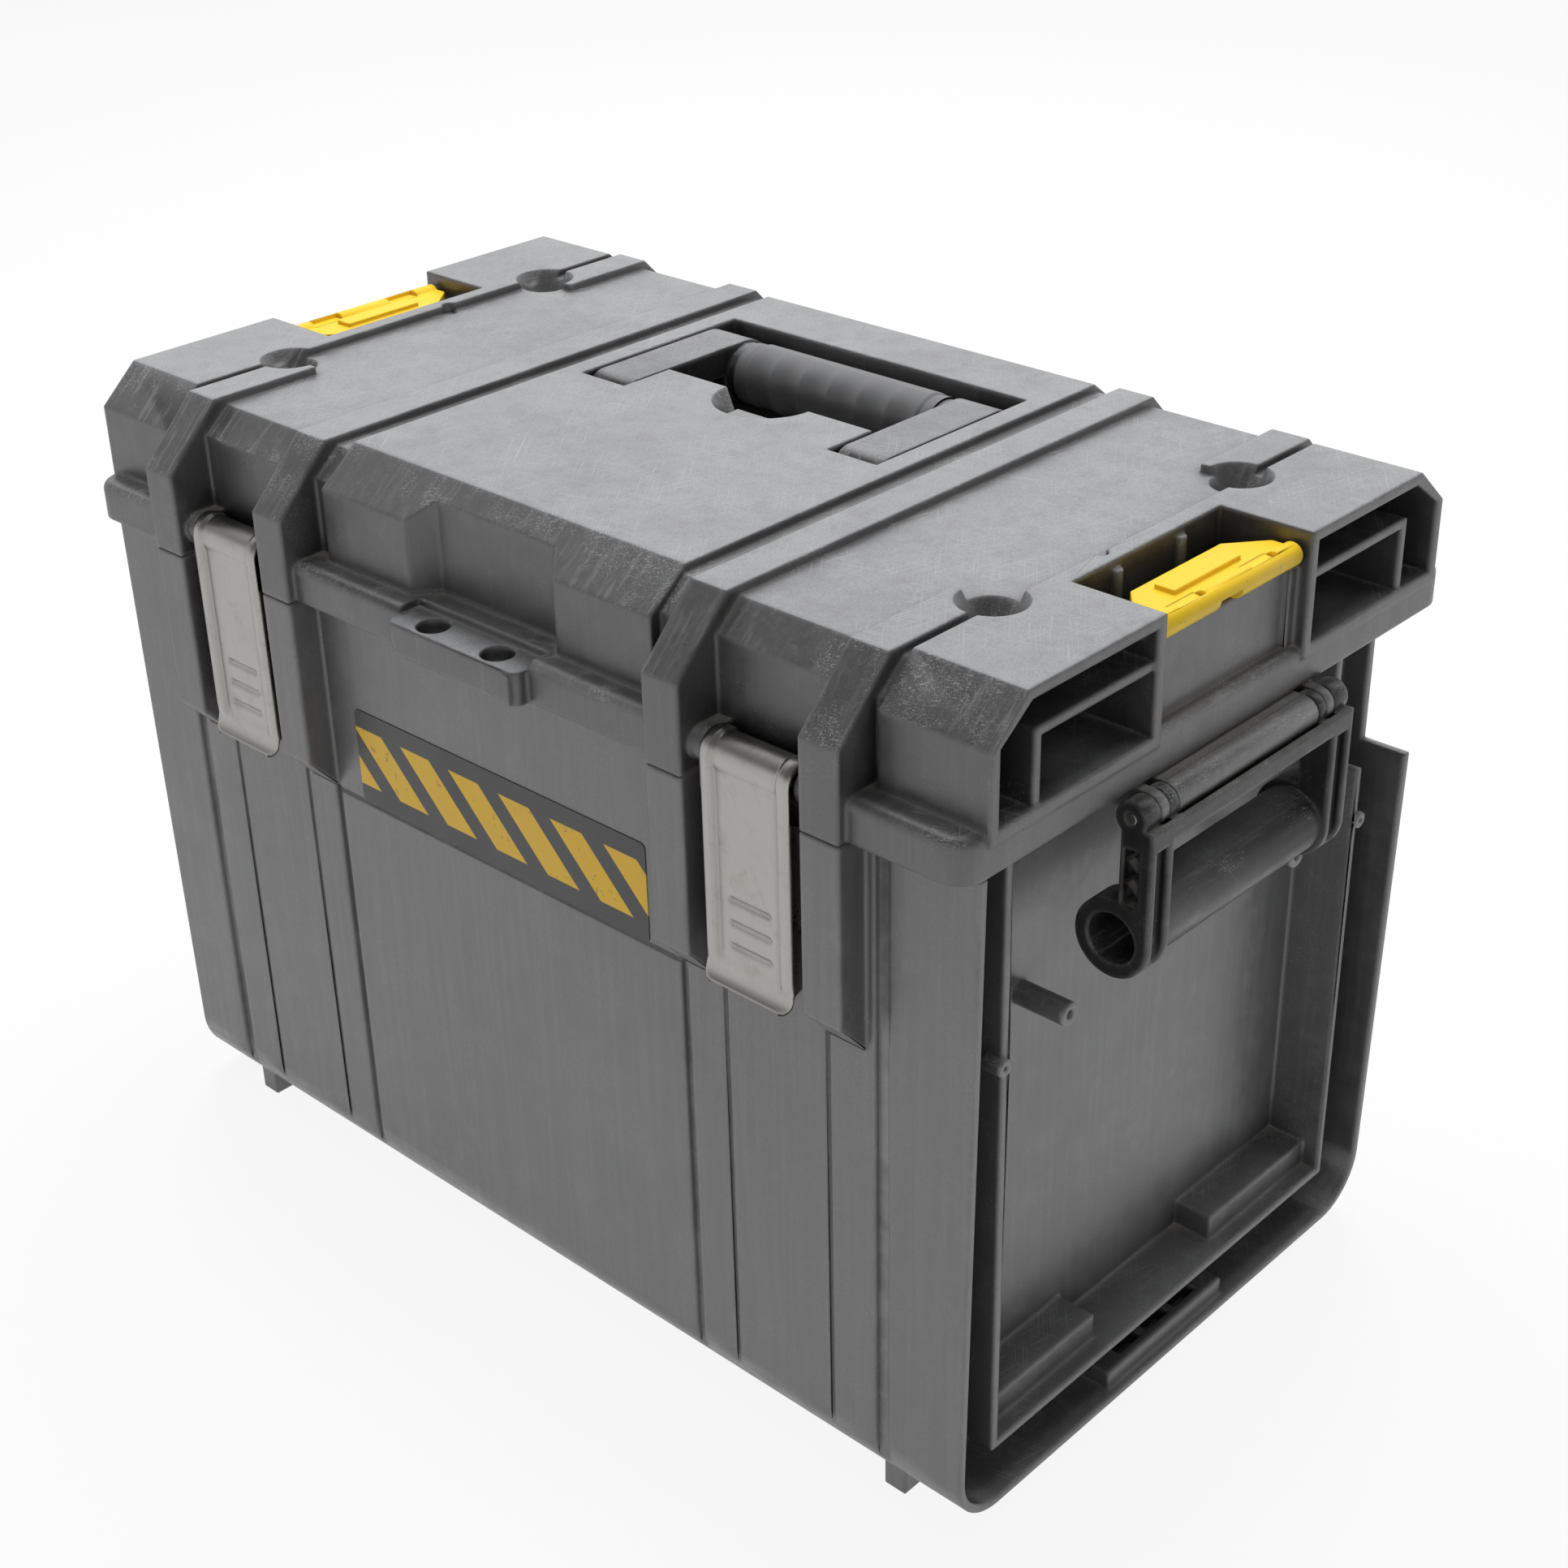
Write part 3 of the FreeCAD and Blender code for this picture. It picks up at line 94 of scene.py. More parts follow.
class Tree:
    """Node tree with a short call for each kind of node that is used here."""

    def __init__(self, node_tree):
        self.nodes = node_tree.nodes
        self.links = node_tree.links

    def feed(self, socket, value):
        if isinstance(value, bpy.types.NodeSocket):
            self.links.new(value, socket)
        else:
            socket.default_value = value

    def node(self, kind, inputs, **settings):
        made = self.nodes.new(kind)
        for name, value in settings.items():
            setattr(made, name, value)
        for socket, value in inputs.items():
            self.feed(made.inputs[socket], value)
        return made

    def math(self, operation, first, second):
        return self.node("ShaderNodeMath", {0: first, 1: second}, operation=operation).outputs[0]

    def times(self, *values):
        product = values[0]
        for value in values[1:]:
            product = self.math("MULTIPLY", product, value)
        return product

    def most(self, *values):
        highest = values[0]
        for value in values[1:]:
            highest = self.math("MAXIMUM", highest, value)
        return highest

    def inverse(self, share):
        return self.math("SUBTRACT", 1.0, share)

    def ease(self, value, low, high, start=0.0, end=1.0, curve="SMOOTHSTEP"):
        """Step of a value from one range to another, smooth unless said otherwise."""
        inputs = {"Value": value, "From Min": low, "From Max": high, "To Min": start, "To Max": end}
        return self.node("ShaderNodeMapRange", inputs, interpolation_type=curve).outputs[0]

    def mix(self, share, first, second):
        inputs = {0: share, 6: first, 7: second}
        return self.node("ShaderNodeMix", inputs, data_type="RGBA").outputs[2]


class Surface(Tree):
    """Node tree of one material, with the place and the facing that its patterns start from."""

    def __init__(self, name):
        self.material = bpy.data.materials.new(name)
        self.material.use_nodes = True
        super().__init__(self.material.node_tree)
        self.shader = self.nodes["Principled BSDF"]
        coordinates = self.node("ShaderNodeTexCoord", {}).outputs
        self.place = coordinates["Object"]
        self.facing = self.node("ShaderNodeSeparateXYZ", {0: coordinates["Normal"]}).outputs

    def stretch(self, scale):
        return self.node("ShaderNodeMapping", {"Vector": self.place, "Scale": scale}).outputs[0]

    def noise(self, scale, detail=4.0, roughness=0.6, distortion=0.0, vector=None):
        inputs = {"Vector": vector or self.place, "Scale": scale, "Detail": detail,
                  "Roughness": roughness, "Distortion": distortion}
        return self.node("ShaderNodeTexNoise", inputs).outputs[0]

    def hollows(self, reach):
        """High in corners and under overhangs."""
        shade = self.node("ShaderNodeAmbientOcclusion", {"Distance": reach}, samples=SHADE_SAMPLES)
        return self.inverse(shade.outputs["AO"])

    def edges(self, reach):
        """High along outside edges."""
        shade = self.node("ShaderNodeAmbientOcclusion", {"Distance": reach}, samples=SHADE_SAMPLES,
                          inside=True, only_local=True)
        return self.inverse(shade.outputs["AO"])

    def hairs(self, turn, length, width):
        """Thin straight scratches along one direction, given as turns of the X axis in degrees."""
        rotation = tuple(math.radians(angle) for angle in turn)
        inputs = {"Vector": self.place, "Rotation": rotation, "Scale": (length, width, width)}
        along = self.node("ShaderNodeMapping", inputs, vector_type="TEXTURE").outputs[0]
        streaks = self.noise(1.0, detail=0.0, roughness=0.5, vector=along)
        return self.ease(streaks, SCRATCH_LOW, SCRATCH_HIGH)

    def rounded(self, radius):
        """Normal that runs smoothly over the edges, as on a moulded or pressed piece."""
        return self.node("ShaderNodeBevel", {"Radius": radius}, samples=SHADE_SAMPLES).outputs[0]

    def bump(self, height, strength, distance, below):
        inputs = {"Height": height, "Strength": strength, "Distance": distance, "Normal": below}
        return self.node("ShaderNodeBump", inputs).outputs[0]

    def shade(self, **inputs):
        """Feed the shader's sockets, named with underscores for spaces, and give the material."""
        for name, value in inputs.items():
            self.feed(self.shader.inputs[name.replace("_", " ")], value)
        return self.material


def grey(level, tint=(1.0, 1.0, 1.0)):
    return tuple(level * part for part in tint) + (1.0,)


def shell_plastic(name, base, dust, roughness, sheen):
    """Dark moulded plastic with a fine grain, a dusty top, drag marks, hair scratches, scuffed edges that
    also carry a painted highlight, and painted shade in corners and deep hollows.
    """
    tree = Surface(name)
    up = tree.facing["Z"]
    cloud = tree.noise(7.0, detail=5.0, roughness=0.62)
    patch = tree.noise(28.0, roughness=0.65, distortion=0.4)
    mottle = tree.noise(90.0, detail=6.0, roughness=0.72, distortion=0.3)
    grain = tree.noise(1100.0, detail=2.0)
    fibre = tree.ease(tree.noise(520.0, detail=2.0, distortion=1.5), 0.6, 0.7)
    drag = tree.noise(1.0, detail=3.0, vector=tree.stretch((260.0, 260.0, 9.0)))
    slope_drag = tree.noise(1.0, detail=3.0, roughness=0.7, vector=tree.stretch((420.0, 36.0, 36.0)))

    # Where each mark lies
    open_air = tree.ease(tree.hollows(30.0 * MM), 0.05, 0.32, 1.0, 0.0)
    upward = tree.times(tree.ease(up, 0.75, 0.97), open_air)
    shelf = tree.ease(up, 0.4, 0.8)
    sloped = tree.times(tree.ease(up, 0.3, 0.5), tree.ease(up, 0.8, 0.95, 1.0, 0.0))
    upright = tree.ease(up, 0.3, 0.7, 1.0, 0.0)
    edge = tree.edges(2.2 * MM)
    corner = tree.ease(tree.hollows(9.0 * MM), 0.22, 0.6)
    # Painted shade in deep hollows and under overhangs on the upright faces
    deep_shade = tree.times(tree.ease(tree.hollows(45.0 * MM), 0.35, 0.8), upright)
    hair = tree.most(tree.hairs(turn=(0.0, 0.0, 17.0), length=34.0 * MM, width=0.5 * MM),
                     tree.hairs(turn=(0.0, 0.0, 76.0), length=26.0 * MM, width=0.55 * MM),
                     tree.hairs(turn=(0.0, 0.0, 128.0), length=30.0 * MM, width=0.45 * MM))
    hair = tree.times(hair, tree.ease(patch, 0.42, 0.6), tree.ease(up, 0.2, 0.6))
    knock = tree.most(tree.hairs(turn=(0.0, 38.0, 35.0), length=22.0 * MM, width=0.5 * MM),
                      tree.hairs(turn=(0.0, -62.0, 50.0), length=28.0 * MM, width=0.45 * MM))
    knock = tree.times(knock, tree.ease(patch, 0.5, 0.62))
    scuff = tree.times(sloped, tree.ease(slope_drag, 0.5, 0.7), tree.ease(cloud, 0.3, 0.6))
    # Outside edges: partly edge wear, partly a painted highlight
    worn_edge_and_highlight = tree.times(tree.ease(edge, 0.12, 0.5), tree.ease(patch, 0.36, 0.6))
    settled = tree.times(corner, shelf, tree.ease(cloud, 0.3, 0.55))
    # Painted shade: darker in corners and creases, except on the shelves
    dark_corners = tree.times(corner, tree.inverse(shelf))
    film = tree.times(tree.ease(cloud, 0.25, 0.6, 0.8, 1.0), tree.ease(mottle, 0.3, 0.6, 0.72, 1.0))

    # From the bare plastic outwards: the share of each layer, what is below it, and its own colour
    colour = tree.mix(tree.ease(cloud, 0.3, 0.7), grey(base * 0.84, COOL), grey(base * 1.12, COOL))
    colour = tree.mix(tree.times(tree.ease(drag, 0.4, 0.7), 0.55), colour, grey(base * 1.45, COOL))
    colour = tree.mix(tree.ease(mottle, 0.45, 0.7, 0.0, 0.45), colour, grey(base * 1.7, COOL))
    colour = tree.mix(tree.times(upward, film), colour, grey(dust, COOL))
    colour = tree.mix(tree.ease(grain, 0.3, 0.7, 0.0, 0.25), colour, grey(base * 0.4, COOL))
    # Painted shade in corners and creases
    colour = tree.mix(tree.times(dark_corners, 0.6), colour, grey(base * 0.3))
    # Painted shade in deep hollows on the upright faces
    colour = tree.mix(tree.times(deep_shade, 0.75), colour, grey(base * 0.25))
    colour = tree.mix(tree.times(scuff, 0.5), colour, grey(PALE * 0.8, COOL))
    # Paler outside edges: partly wear, partly a painted highlight
    colour = tree.mix(tree.times(worn_edge_and_highlight, 0.65), colour, grey(PALE * 0.9, COOL))
    colour = tree.mix(tree.times(settled, 0.75), colour, grey(PALE, DUSTY))
    colour = tree.mix(tree.times(hair, 0.65), colour, grey(PALE * 1.1, COOL))
    colour = tree.mix(tree.times(knock, 0.35), colour, grey(PALE * 0.8, COOL))
    colour = tree.mix(tree.times(fibre, shelf, 0.12), colour, grey(PALE * 1.2, COOL))

    gloss = tree.ease(mottle, 0.3, 0.7, roughness - 0.06, roughness + 0.08)
    gloss = tree.math("ADD", gloss, tree.times(upward, 0.1))
    gloss = tree.math("ADD", gloss, tree.times(settled, 0.3))
    relief = tree.bump(patch, strength=0.03, distance=0.6 * MM, below=tree.rounded(3.2 * MM))
    relief = tree.bump(grain, strength=0.22, distance=0.15 * MM, below=relief)
    relief = tree.bump(hair, strength=0.15, distance=0.1 * MM, below=relief)
    return tree.shade(Base_Color=colour, Roughness=gloss, Normal=relief, IOR=SHELL_IOR,
                      Specular_IOR_Level=sheen)


def rubber(name, base, roughness):
    """Soft dark rubber with a fine pebble, a paler top and light specks."""
    tree = Surface(name)
    cloud = tree.noise(22.0)
    pebble = tree.noise(900.0, detail=1.0, roughness=0.5)
    upward = tree.ease(tree.facing["Z"], 0.2, 0.95)
    speck = tree.ease(tree.noise(520.0, detail=1.0, roughness=0.5), 0.68, 0.75)
    colour = tree.mix(cloud, grey(base * 0.85, COOL), grey(base * 1.15, COOL))
    colour = tree.mix(tree.times(upward, 0.4), colour, grey(base * 1.7, COOL))
    colour = tree.mix(tree.times(speck, 0.15), colour, grey(base * 3.0, COOL))
    gloss = tree.ease(cloud, 0.3, 0.7, roughness - 0.07, roughness + 0.07)
    relief = tree.bump(pebble, strength=0.2, distance=0.12 * MM, below=tree.rounded(1.0 * MM))
    return tree.shade(Base_Color=colour, Roughness=gloss, Normal=relief)


def zinc_steel(name, bright):
    """Zinc plated sheet: faint spangle, rolling streaks, stains, painted shade in the creases and bright worn
    edges.
    """
    tree = Surface(name)
    cloud = tree.noise(40.0)
    spangle = tree.noise(420.0, detail=2.0)
    streak = tree.noise(1.0, detail=3.0, roughness=0.65, vector=tree.stretch((900.0, 900.0, 26.0)))
    scratch = tree.hairs(turn=(0.0, 64.0, 0.0), length=14.0 * MM, width=0.4 * MM)
    stain = tree.ease(tree.noise(75.0, detail=5.0, roughness=0.7, distortion=0.6), 0.52, 0.72)
    edge = tree.ease(tree.edges(1.6 * MM), 0.15, 0.6)
    # Painted shade in the creases, steps and dents of the pressed sheet
    crease_shade = tree.ease(tree.hollows(4.0 * MM), 0.08, 0.4)
    colour = tree.mix(cloud, grey(bright * 0.82, ZINC), grey(bright * 1.05, ZINC))
    colour = tree.mix(tree.times(streak, 0.35), colour, grey(bright * 0.6, ZINC))
    colour = tree.mix(tree.times(stain, 0.4), colour, grey(bright * 0.5, STAINED))
    colour = tree.mix(tree.times(edge, 0.5), colour, grey(min(bright * 1.3, BRIGHTEST), ZINC))
    # Painted shade in creases and dents
    colour = tree.mix(tree.times(crease_shade, 0.8), colour, grey(bright * 0.15, ZINC))
    gloss = tree.ease(cloud, 0.3, 0.7, 0.26, 0.38)
    gloss = tree.math("ADD", gloss, tree.times(stain, 0.12))
    gloss = tree.math("ADD", gloss, tree.times(scratch, 0.15))
    relief = tree.bump(streak, strength=0.08, distance=0.08 * MM, below=tree.rounded(0.8 * MM))
    relief = tree.bump(spangle, strength=0.06, distance=0.1 * MM, below=relief)
    return tree.shade(Base_Color=colour, Roughness=gloss, Normal=relief, Metallic=1.0)


def bright_plastic(name, colours):
    """Coloured plastic with slight flow marks, grime in the corners, rubbed edges and dark specks."""
    tree = Surface(name)
    cloud = tree.noise(35.0)
    flow = tree.noise(260.0, detail=2.0, roughness=0.5)
    dark_corners = tree.times(tree.ease(tree.hollows(5.0 * MM), 0.3, 0.8), tree.ease(cloud, 0.35, 0.6))
    edge = tree.times(tree.ease(tree.edges(1.2 * MM), 0.2, 0.6), tree.ease(cloud, 0.4, 0.6))
    speck = tree.ease(tree.noise(300.0, detail=1.0, roughness=0.5), 0.7, 0.76)
    colour = tree.mix(cloud, *colours)
    colour = tree.mix(tree.times(dark_corners, 0.5), colour, YELLOW_GRIME)
    colour = tree.mix(tree.times(edge, 0.35), colour, YELLOW_RUBBED)
    colour = tree.mix(tree.times(speck, 0.3), colour, YELLOW_SPECK)
    gloss = tree.ease(cloud, 0.3, 0.7, 0.42, 0.52)
    relief = tree.bump(flow, strength=0.06, distance=0.15 * MM, below=tree.rounded(1.0 * MM))
    return tree.shade(Base_Color=colour, Roughness=gloss, Normal=relief)


def label_film(name):
    """Dark film with a plain band of slanted bright stripes, rubbed in places."""
    low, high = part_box("name_label")
    tree = Surface(name)
    axes = tree.node("ShaderNodeSeparateXYZ", {0: tree.place}).outputs
    cloud = tree.noise(30.0, detail=5.0, roughness=0.65)
    rub = tree.ease(tree.noise(160.0, roughness=0.7, distortion=0.5), 0.6, 0.7)
    slant = tree.math("ADD", axes["X"], axes["Z"])
    wave = tree.math("PINGPONG", tree.math("DIVIDE", slant, STRIPE_PITCH), 1.0)
    stripe = tree.ease(wave, 0.38, 0.42)
    middle = (low.z + high.z) / 2
    reach = tree.math("ABSOLUTE", tree.math("SUBTRACT", axes["Z"], middle), 0.0)
    band = tree.ease(reach, BAND_FULL, BAND_END, 1.0, 0.0)
    printed = tree.times(stripe, band, tree.ease(rub, 0.0, 1.0, 1.0, 0.55))
    film = tree.mix(cloud, *(grey(level) for level in FILM_GREYS))
    colour = tree.mix(printed, film, tree.mix(cloud, *STRIPE_INK))
    gloss = tree.ease(cloud, 0.3, 0.7, 0.35, 0.5)
    relief = tree.bump(cloud, strength=0.05, distance=0.2 * MM, below=tree.rounded(0.2 * MM))
    return tree.shade(Base_Color=colour, Roughness=gloss, Normal=relief)


def dress():
    """Give every CAD node its material and soft edges, and make the pieces that stand for three of them."""
    shell = shell_plastic("tub_plastic", base=0.115, dust=0.34, roughness=0.38, sheen=0.9)
    cover = shell_plastic("lid_plastic", base=0.06, dust=0.34, roughness=0.38, sheen=0.9)
    arms = shell_plastic("handle_plastic", base=0.025, dust=0.3, roughness=0.34, sheen=0.35)
    sleeve = rubber("grip_rubber", base=0.13, roughness=0.42)
    gasket = rubber("seal_rubber", base=0.03, roughness=0.5)
    sheet = zinc_steel("latch_zinc", bright=0.36)
    pins = zinc_steel("pin_zinc", bright=0.42)
    bright = bright_plastic("stack_latch_plastic", LATCH_YELLOW)
    film = label_film("label_film")
    # Material and width of the softened edges, by the slot that the record gives
    looks = {
        "shell": (shell, 1.1 * MM), "handle_plastic": (arms, 0.8 * MM), "grip": (sleeve, 0.5 * MM),
        "seal": (gasket, 0.3 * MM), "latch_steel": (sheet, 0.35 * MM), "pin_steel": (pins, 0.3 * MM),
        "stack_latch": (bright, 0.7 * MM), "label": (film, 0.1 * MM),
    }
    slots = {part["node"]: part["material_slot"] for part in frame["record"]["subparts"]}
    for name, node in nodes.items():
        material, softness = looks[slots[name]]
        if name == "lid":
            material = cover
        node.data.materials.clear()
        node.data.materials.append(material)
        soften(node, softness)
    for side in SIDES:
        pressed_latch(side, sheet)
    soft_grip(sleeve)


def soften(node, width):
    """Round the sharp edges of a CAD node without touching its mesh."""
    weld = node.modifiers.new("weld", "WELD")
    weld.merge_threshold = WELD_REACH
    bevel = node.modifiers.new("soft_edges", "BEVEL")
    bevel.offset_type = "WIDTH"
    bevel.width = width
    bevel.segments = SOFT_SEGMENTS
    bevel.limit_method = "ANGLE"
    bevel.angle_limit = math.radians(SHARP_ANGLE)
    bevel.use_clamp_overlap = False
    bevel.loop_slide = False
    bevel.harden_normals = True


def smooth(value, low, high):
    share = min(max((value - low) / (high - low), 0.0), 1.0)
    return share * share * (3.0 - 2.0 * share)


def add_object(name, data):
    made = bpy.data.objects.new(name, data)
    bpy.context.scene.collection.objects.link(made)
    return made


def skin(name, rows, material, node, body):
    """Sheet through rows of points, with smooth shading, that stands for a CAD node."""
    count = len(rows[0])
    starts = [row * count + at for row in range(len(rows) - 1) for at in range(count - 1)]
    faces = [(start, start + count, start + count + 1, start + 1) for start in starts]
    mesh = bpy.data.meshes.new(name)
    mesh.from_pydata([point for row in rows for point in row], [], faces)
    mesh.polygons.foreach_set("use_smooth", [True] * len(faces))
    mesh.materials.append(material)
    piece = add_object(name, mesh)
    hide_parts(node)
    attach(piece, body)
    return piece


# Pressed latch: its sheet, its tab, and the sides that turn back along the face between tab and roll
LATCH_SHEET = 0.9 * MM
LATCH_TAB = 7.0 * MM
LATCH_CORNER = 5.0 * MM
LATCH_TURN = 1.8 * MM
LATCH_FLANGE = 9.0 * MM
FLANGE_RUN = 4.0 * MM
FLANGE_FULL_BELOW_PIN = 20.0 * MM
FLANGE_END_BELOW_PIN = 14.0 * MM
LATCH_RIM = 0.9 * MM
RIM_SHARE_AT_TAB = 0.1

# Raised borders, and the field that is sunk between them and shallower at the roll
BORDER_WIDTH = 5.5 * MM
BORDER_SLOPE = 1.8 * MM
BORDER_RISE = 0.7 * MM
BORDER_EDGE = 2.0 * MM
BORDER_BELOW_FOOT = 1.0 * MM
BORDER_ABOVE_FOOT = 7.0 * MM
FIELD_SINK = 1.6 * MM
ROLL_SINK = 0.4 * MM
ROLL_START_BELOW_PIN = 6.0 * MM
ROLL_END_BELOW_PIN = 1.0 * MM

# Finger grooves, counted up from the foot of the face
GROOVES = 3
GROOVE_RADIUS = 2.3 * MM
GROOVE_DEPTH = 1.0 * MM
GROOVE_HALF = 12.5 * MM
GROOVE_FIRST = 10.5 * MM
GROOVE_PITCH = 11.0 * MM
GROOVE_FLAT = 0.15

# Steps of the latch's mesh
ROLL_STEPS = 24
FACE_STEP = 0.8 * MM
TAB_STEPS = 12
TURN_STEPS = 5
ACROSS_STEPS = 72


def latch_stations(axis, roll, front, bottom, flare):
    """Points and outward normals in Y and Z, from the back of the roll over its top and down to the tab."""
    stations = []
    for step in range(ROLL_STEPS + 1):
        turn = math.pi * step / ROLL_STEPS
        normal = (math.cos(turn), math.sin(turn))
        stations.append((axis.y + roll * normal[0], axis.z + roll * normal[1], normal))
    foot = bottom + LATCH_TAB
    steps = round((axis.z - foot) / FACE_STEP)
    for step in range(1, steps):
        stations.append((front, axis.z + (foot - axis.z) * step / steps, (-1.0, 0.0)))
    for step in range(TAB_STEPS + 1):
        share = step / TAB_STEPS
        normal = Vector((-LATCH_TAB, 2 * flare * share)).normalized()
        stations.append((front - flare * share ** 2, foot - LATCH_TAB * share, tuple(normal)))
    return stations


def latch_section(half, flange):
    """Offsets across the plate from left to right, with the depth behind the face at the turned sides."""
    turn = min(LATCH_TURN, flange)
    side = [(half, -flange), (half, -(flange + turn) / 2)]
    for step in range(TURN_STEPS + 1):
        angle = math.pi / 2 * step / TURN_STEPS
        side.append((half - turn + turn * math.cos(angle), -turn + turn * math.sin(angle)))
    reach = half - LATCH_TURN
    across = [(-reach + 2 * reach * step / ACROSS_STEPS, 0.0) for step in range(1, ACROSS_STEPS)]
    return [(-x, depth) for x, depth in side] + across + side[::-1]


def groove_depth(x, height):
    """How deep the pressed finger grooves are at a place on the face, measured from its foot."""
    past_end = max(abs(x) - (GROOVE_HALF - GROOVE_RADIUS), 0.0)
    depth = 0.0
    for number in range(GROOVES):
        centre = GROOVE_FIRST + GROOVE_PITCH * number
        away = math.hypot(past_end, height - centre) / GROOVE_RADIUS
        depth = max(depth, GROOVE_DEPTH * (1.0 - smooth(away, GROOVE_FLAT, 1.0)))
    return depth


def pressed_latch(side, material):
    """Latch plate as pressed sheet: rolled top, borders that fade out at the tab, grooves, turned sides."""
    node = f"latch_plate_{side}"
    low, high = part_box(node)
    pin_low, pin_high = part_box(f"latch_pivot_pin_{side}")
    axis = (pin_low + pin_high) / 2
    middle = (low.x + high.x) / 2
    half = (high.x - low.x) / 2
    roll = high.z - axis.z
    front = axis.y - roll
    foot = low.z + LATCH_TAB
    rows = []
    for y, z, normal in latch_stations(axis, roll, front, low.z, front - low.y):
        near_roll = smooth(z, axis.z - FLANGE_FULL_BELOW_PIN, axis.z - FLANGE_END_BELOW_PIN)
        on_face = smooth(z, foot, foot + FLANGE_RUN) * (1.0 - near_roll)
        above_tab = smooth(z, low.z, foot)
        rim = LATCH_RIM * (RIM_SHARE_AT_TAB + (1.0 - RIM_SHARE_AT_TAB) * above_tab)
        flange = rim + (LATCH_FLANGE - rim) * on_face
        border = smooth(z, foot - BORDER_BELOW_FOOT, foot + BORDER_ABOVE_FOOT)
        on_roll = smooth(z, axis.z - ROLL_START_BELOW_PIN, axis.z - ROLL_END_BELOW_PIN)
        sink = FIELD_SINK + (ROLL_SINK - FIELD_SINK) * on_roll
        corner = max(LATCH_CORNER - (z - low.z), 0.0)
        waist = half - LATCH_CORNER + math.sqrt(LATCH_CORNER ** 2 - corner ** 2)
        row = []
        for x, depth in latch_section(half, flange):
            inward = half - abs(x)
            field = smooth(inward, BORDER_WIDTH, BORDER_WIDTH + BORDER_SLOPE)
            rise = border * (BORDER_RISE * smooth(inward, 0.0, BORDER_EDGE) * (1.0 - field) - sink * field)
            if z < axis.z - roll:
                rise -= groove_depth(x, z - foot)
            out = depth + rise
            row.append((middle + x * waist / half, y + normal[0] * out, z + normal[1] * out))
        rows.append(row)
    piece = skin(f"pressed_latch_{side}", rows, material, node, f"latch_{side}")
    sheet = piece.modifiers.new("sheet", "SOLIDIFY")
    sheet.thickness = LATCH_SHEET
    sheet.offset = -1.0


# Grip sleeve: hollows between its collars, a groove beside each, and a seam; angles in degrees from +Y
GRIP_WAVES = 6
GRIP_WAVE_DEPTH = 1.8 * MM
GRIP_FRONT = 185.0
GRIP_COLLAR = 6.0 * MM
GRIP_COLLAR_SINK = 0.7 * MM
GRIP_COLLAR_RUN = 0.5 * MM
GRIP_GROOVE = 0.9 * MM
GRIP_GROOVE_FLAT = 0.2 * MM
GRIP_GROOVE_HALF = 1.2 * MM
GRIP_SEAM = 0.25 * MM
GRIP_SEAM_AT = 205.0
GRIP_SEAM_HALF = 4.0
GRIP_STEPS = 150
GRIP_TURNS = 72


def soft_grip(material):
    """Round rubber sleeve with finger hollows on its lower front, a fine seam and a collar at each end."""
    low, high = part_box("top_handle_grip")
    middle = (low + high) / 2
    half = (high.x - low.x) / 2
    radius = (high.z - low.z) / 2
    grasp = half - GRIP_COLLAR
    rows = []
    for step in range(GRIP_STEPS + 1):
        x = -half + 2 * half * step / GRIP_STEPS
        from_collar = abs(abs(x) - grasp)
        groove = GRIP_GROOVE * (1.0 - smooth(from_collar, GRIP_GROOVE_FLAT, GRIP_GROOVE_HALF))
        collar = GRIP_COLLAR_SINK * smooth(abs(x), grasp, grasp + GRIP_COLLAR_RUN)
        wave = seam_depth = 0.0
        if abs(x) < grasp:
            wave = abs(math.sin(math.pi * GRIP_WAVES * (x + grasp) / (2 * grasp)))
            seam_depth = GRIP_SEAM
        row = []
        for turn in range(GRIP_TURNS + 1):
            angle = 2 * math.pi * turn / GRIP_TURNS
            hollow = max(math.cos(angle - math.radians(GRIP_FRONT)), 0.0) * GRIP_WAVE_DEPTH * wave
            from_seam = abs(math.degrees(angle) - GRIP_SEAM_AT)
            seam = seam_depth * (1.0 - smooth(from_seam, 0.0, GRIP_SEAM_HALF))
            reach = radius - groove - collar - hollow - seam
            row.append((middle.x + x, middle.y + reach * math.cos(angle), middle.z + reach * math.sin(angle)))
        rows.append(row)
    skin("soft_grip", rows, material, "top_handle_grip", "top_handle")


FLOOR_HALF = 12.0
FLOOR_GREY = 0.9
FLOOR_GLOW = 0.9


def make_floor():
    """Plain white floor that keeps the shadow and looks white to the camera and in reflections."""
    corners = [(x * FLOOR_HALF, y * FLOOR_HALF, 0.0) for x, y in ((-1, -1), (1, -1), (1, 1), (-1, 1))]
    mesh = bpy.data.meshes.new("floor")
    mesh.from_pydata(corners, [], [(0, 1, 2, 3)])
    floor = add_object("floor", mesh)
    tree = Surface("floor_white")
    path = tree.node("ShaderNodeLightPath", {}).outputs
    seen = tree.most(path["Is Camera Ray"], path["Is Glossy Ray"], path["Is Transmission Ray"])
    diffuse = tree.node("ShaderNodeBsdfDiffuse", {"Color": grey(FLOOR_GREY)}).outputs[0]
    glow = tree.node("ShaderNodeEmission", {"Color": grey(1.0), "Strength": 1.0}).outputs[0]
    white = tree.node("ShaderNodeMixShader", {0: FLOOR_GLOW, 1: diffuse, 2: glow}).outputs[0]
    shown = tree.node("ShaderNodeMixShader", {0: seen, 1: diffuse, 2: white}).outputs[0]
    tree.feed(tree.nodes["Material Output"].inputs["Surface"], shown)
    mesh.materials.append(tree.material)


# World: even light, what the camera sees past the floor, and what gloss sees by direction
WORLD_LIGHT = 0.12
HORIZON_WHITE = 0.91
BACKDROP_WHITE = 0.96
BACKDROP_SIDE = (-0.62, 0.78, 0.0)
BACKDROP_START = 0.0
BACKDROP_FULL = 0.5
LOW_FULL = 0.15
LOW_END = 0.5
ROOM_DARK = 0.2


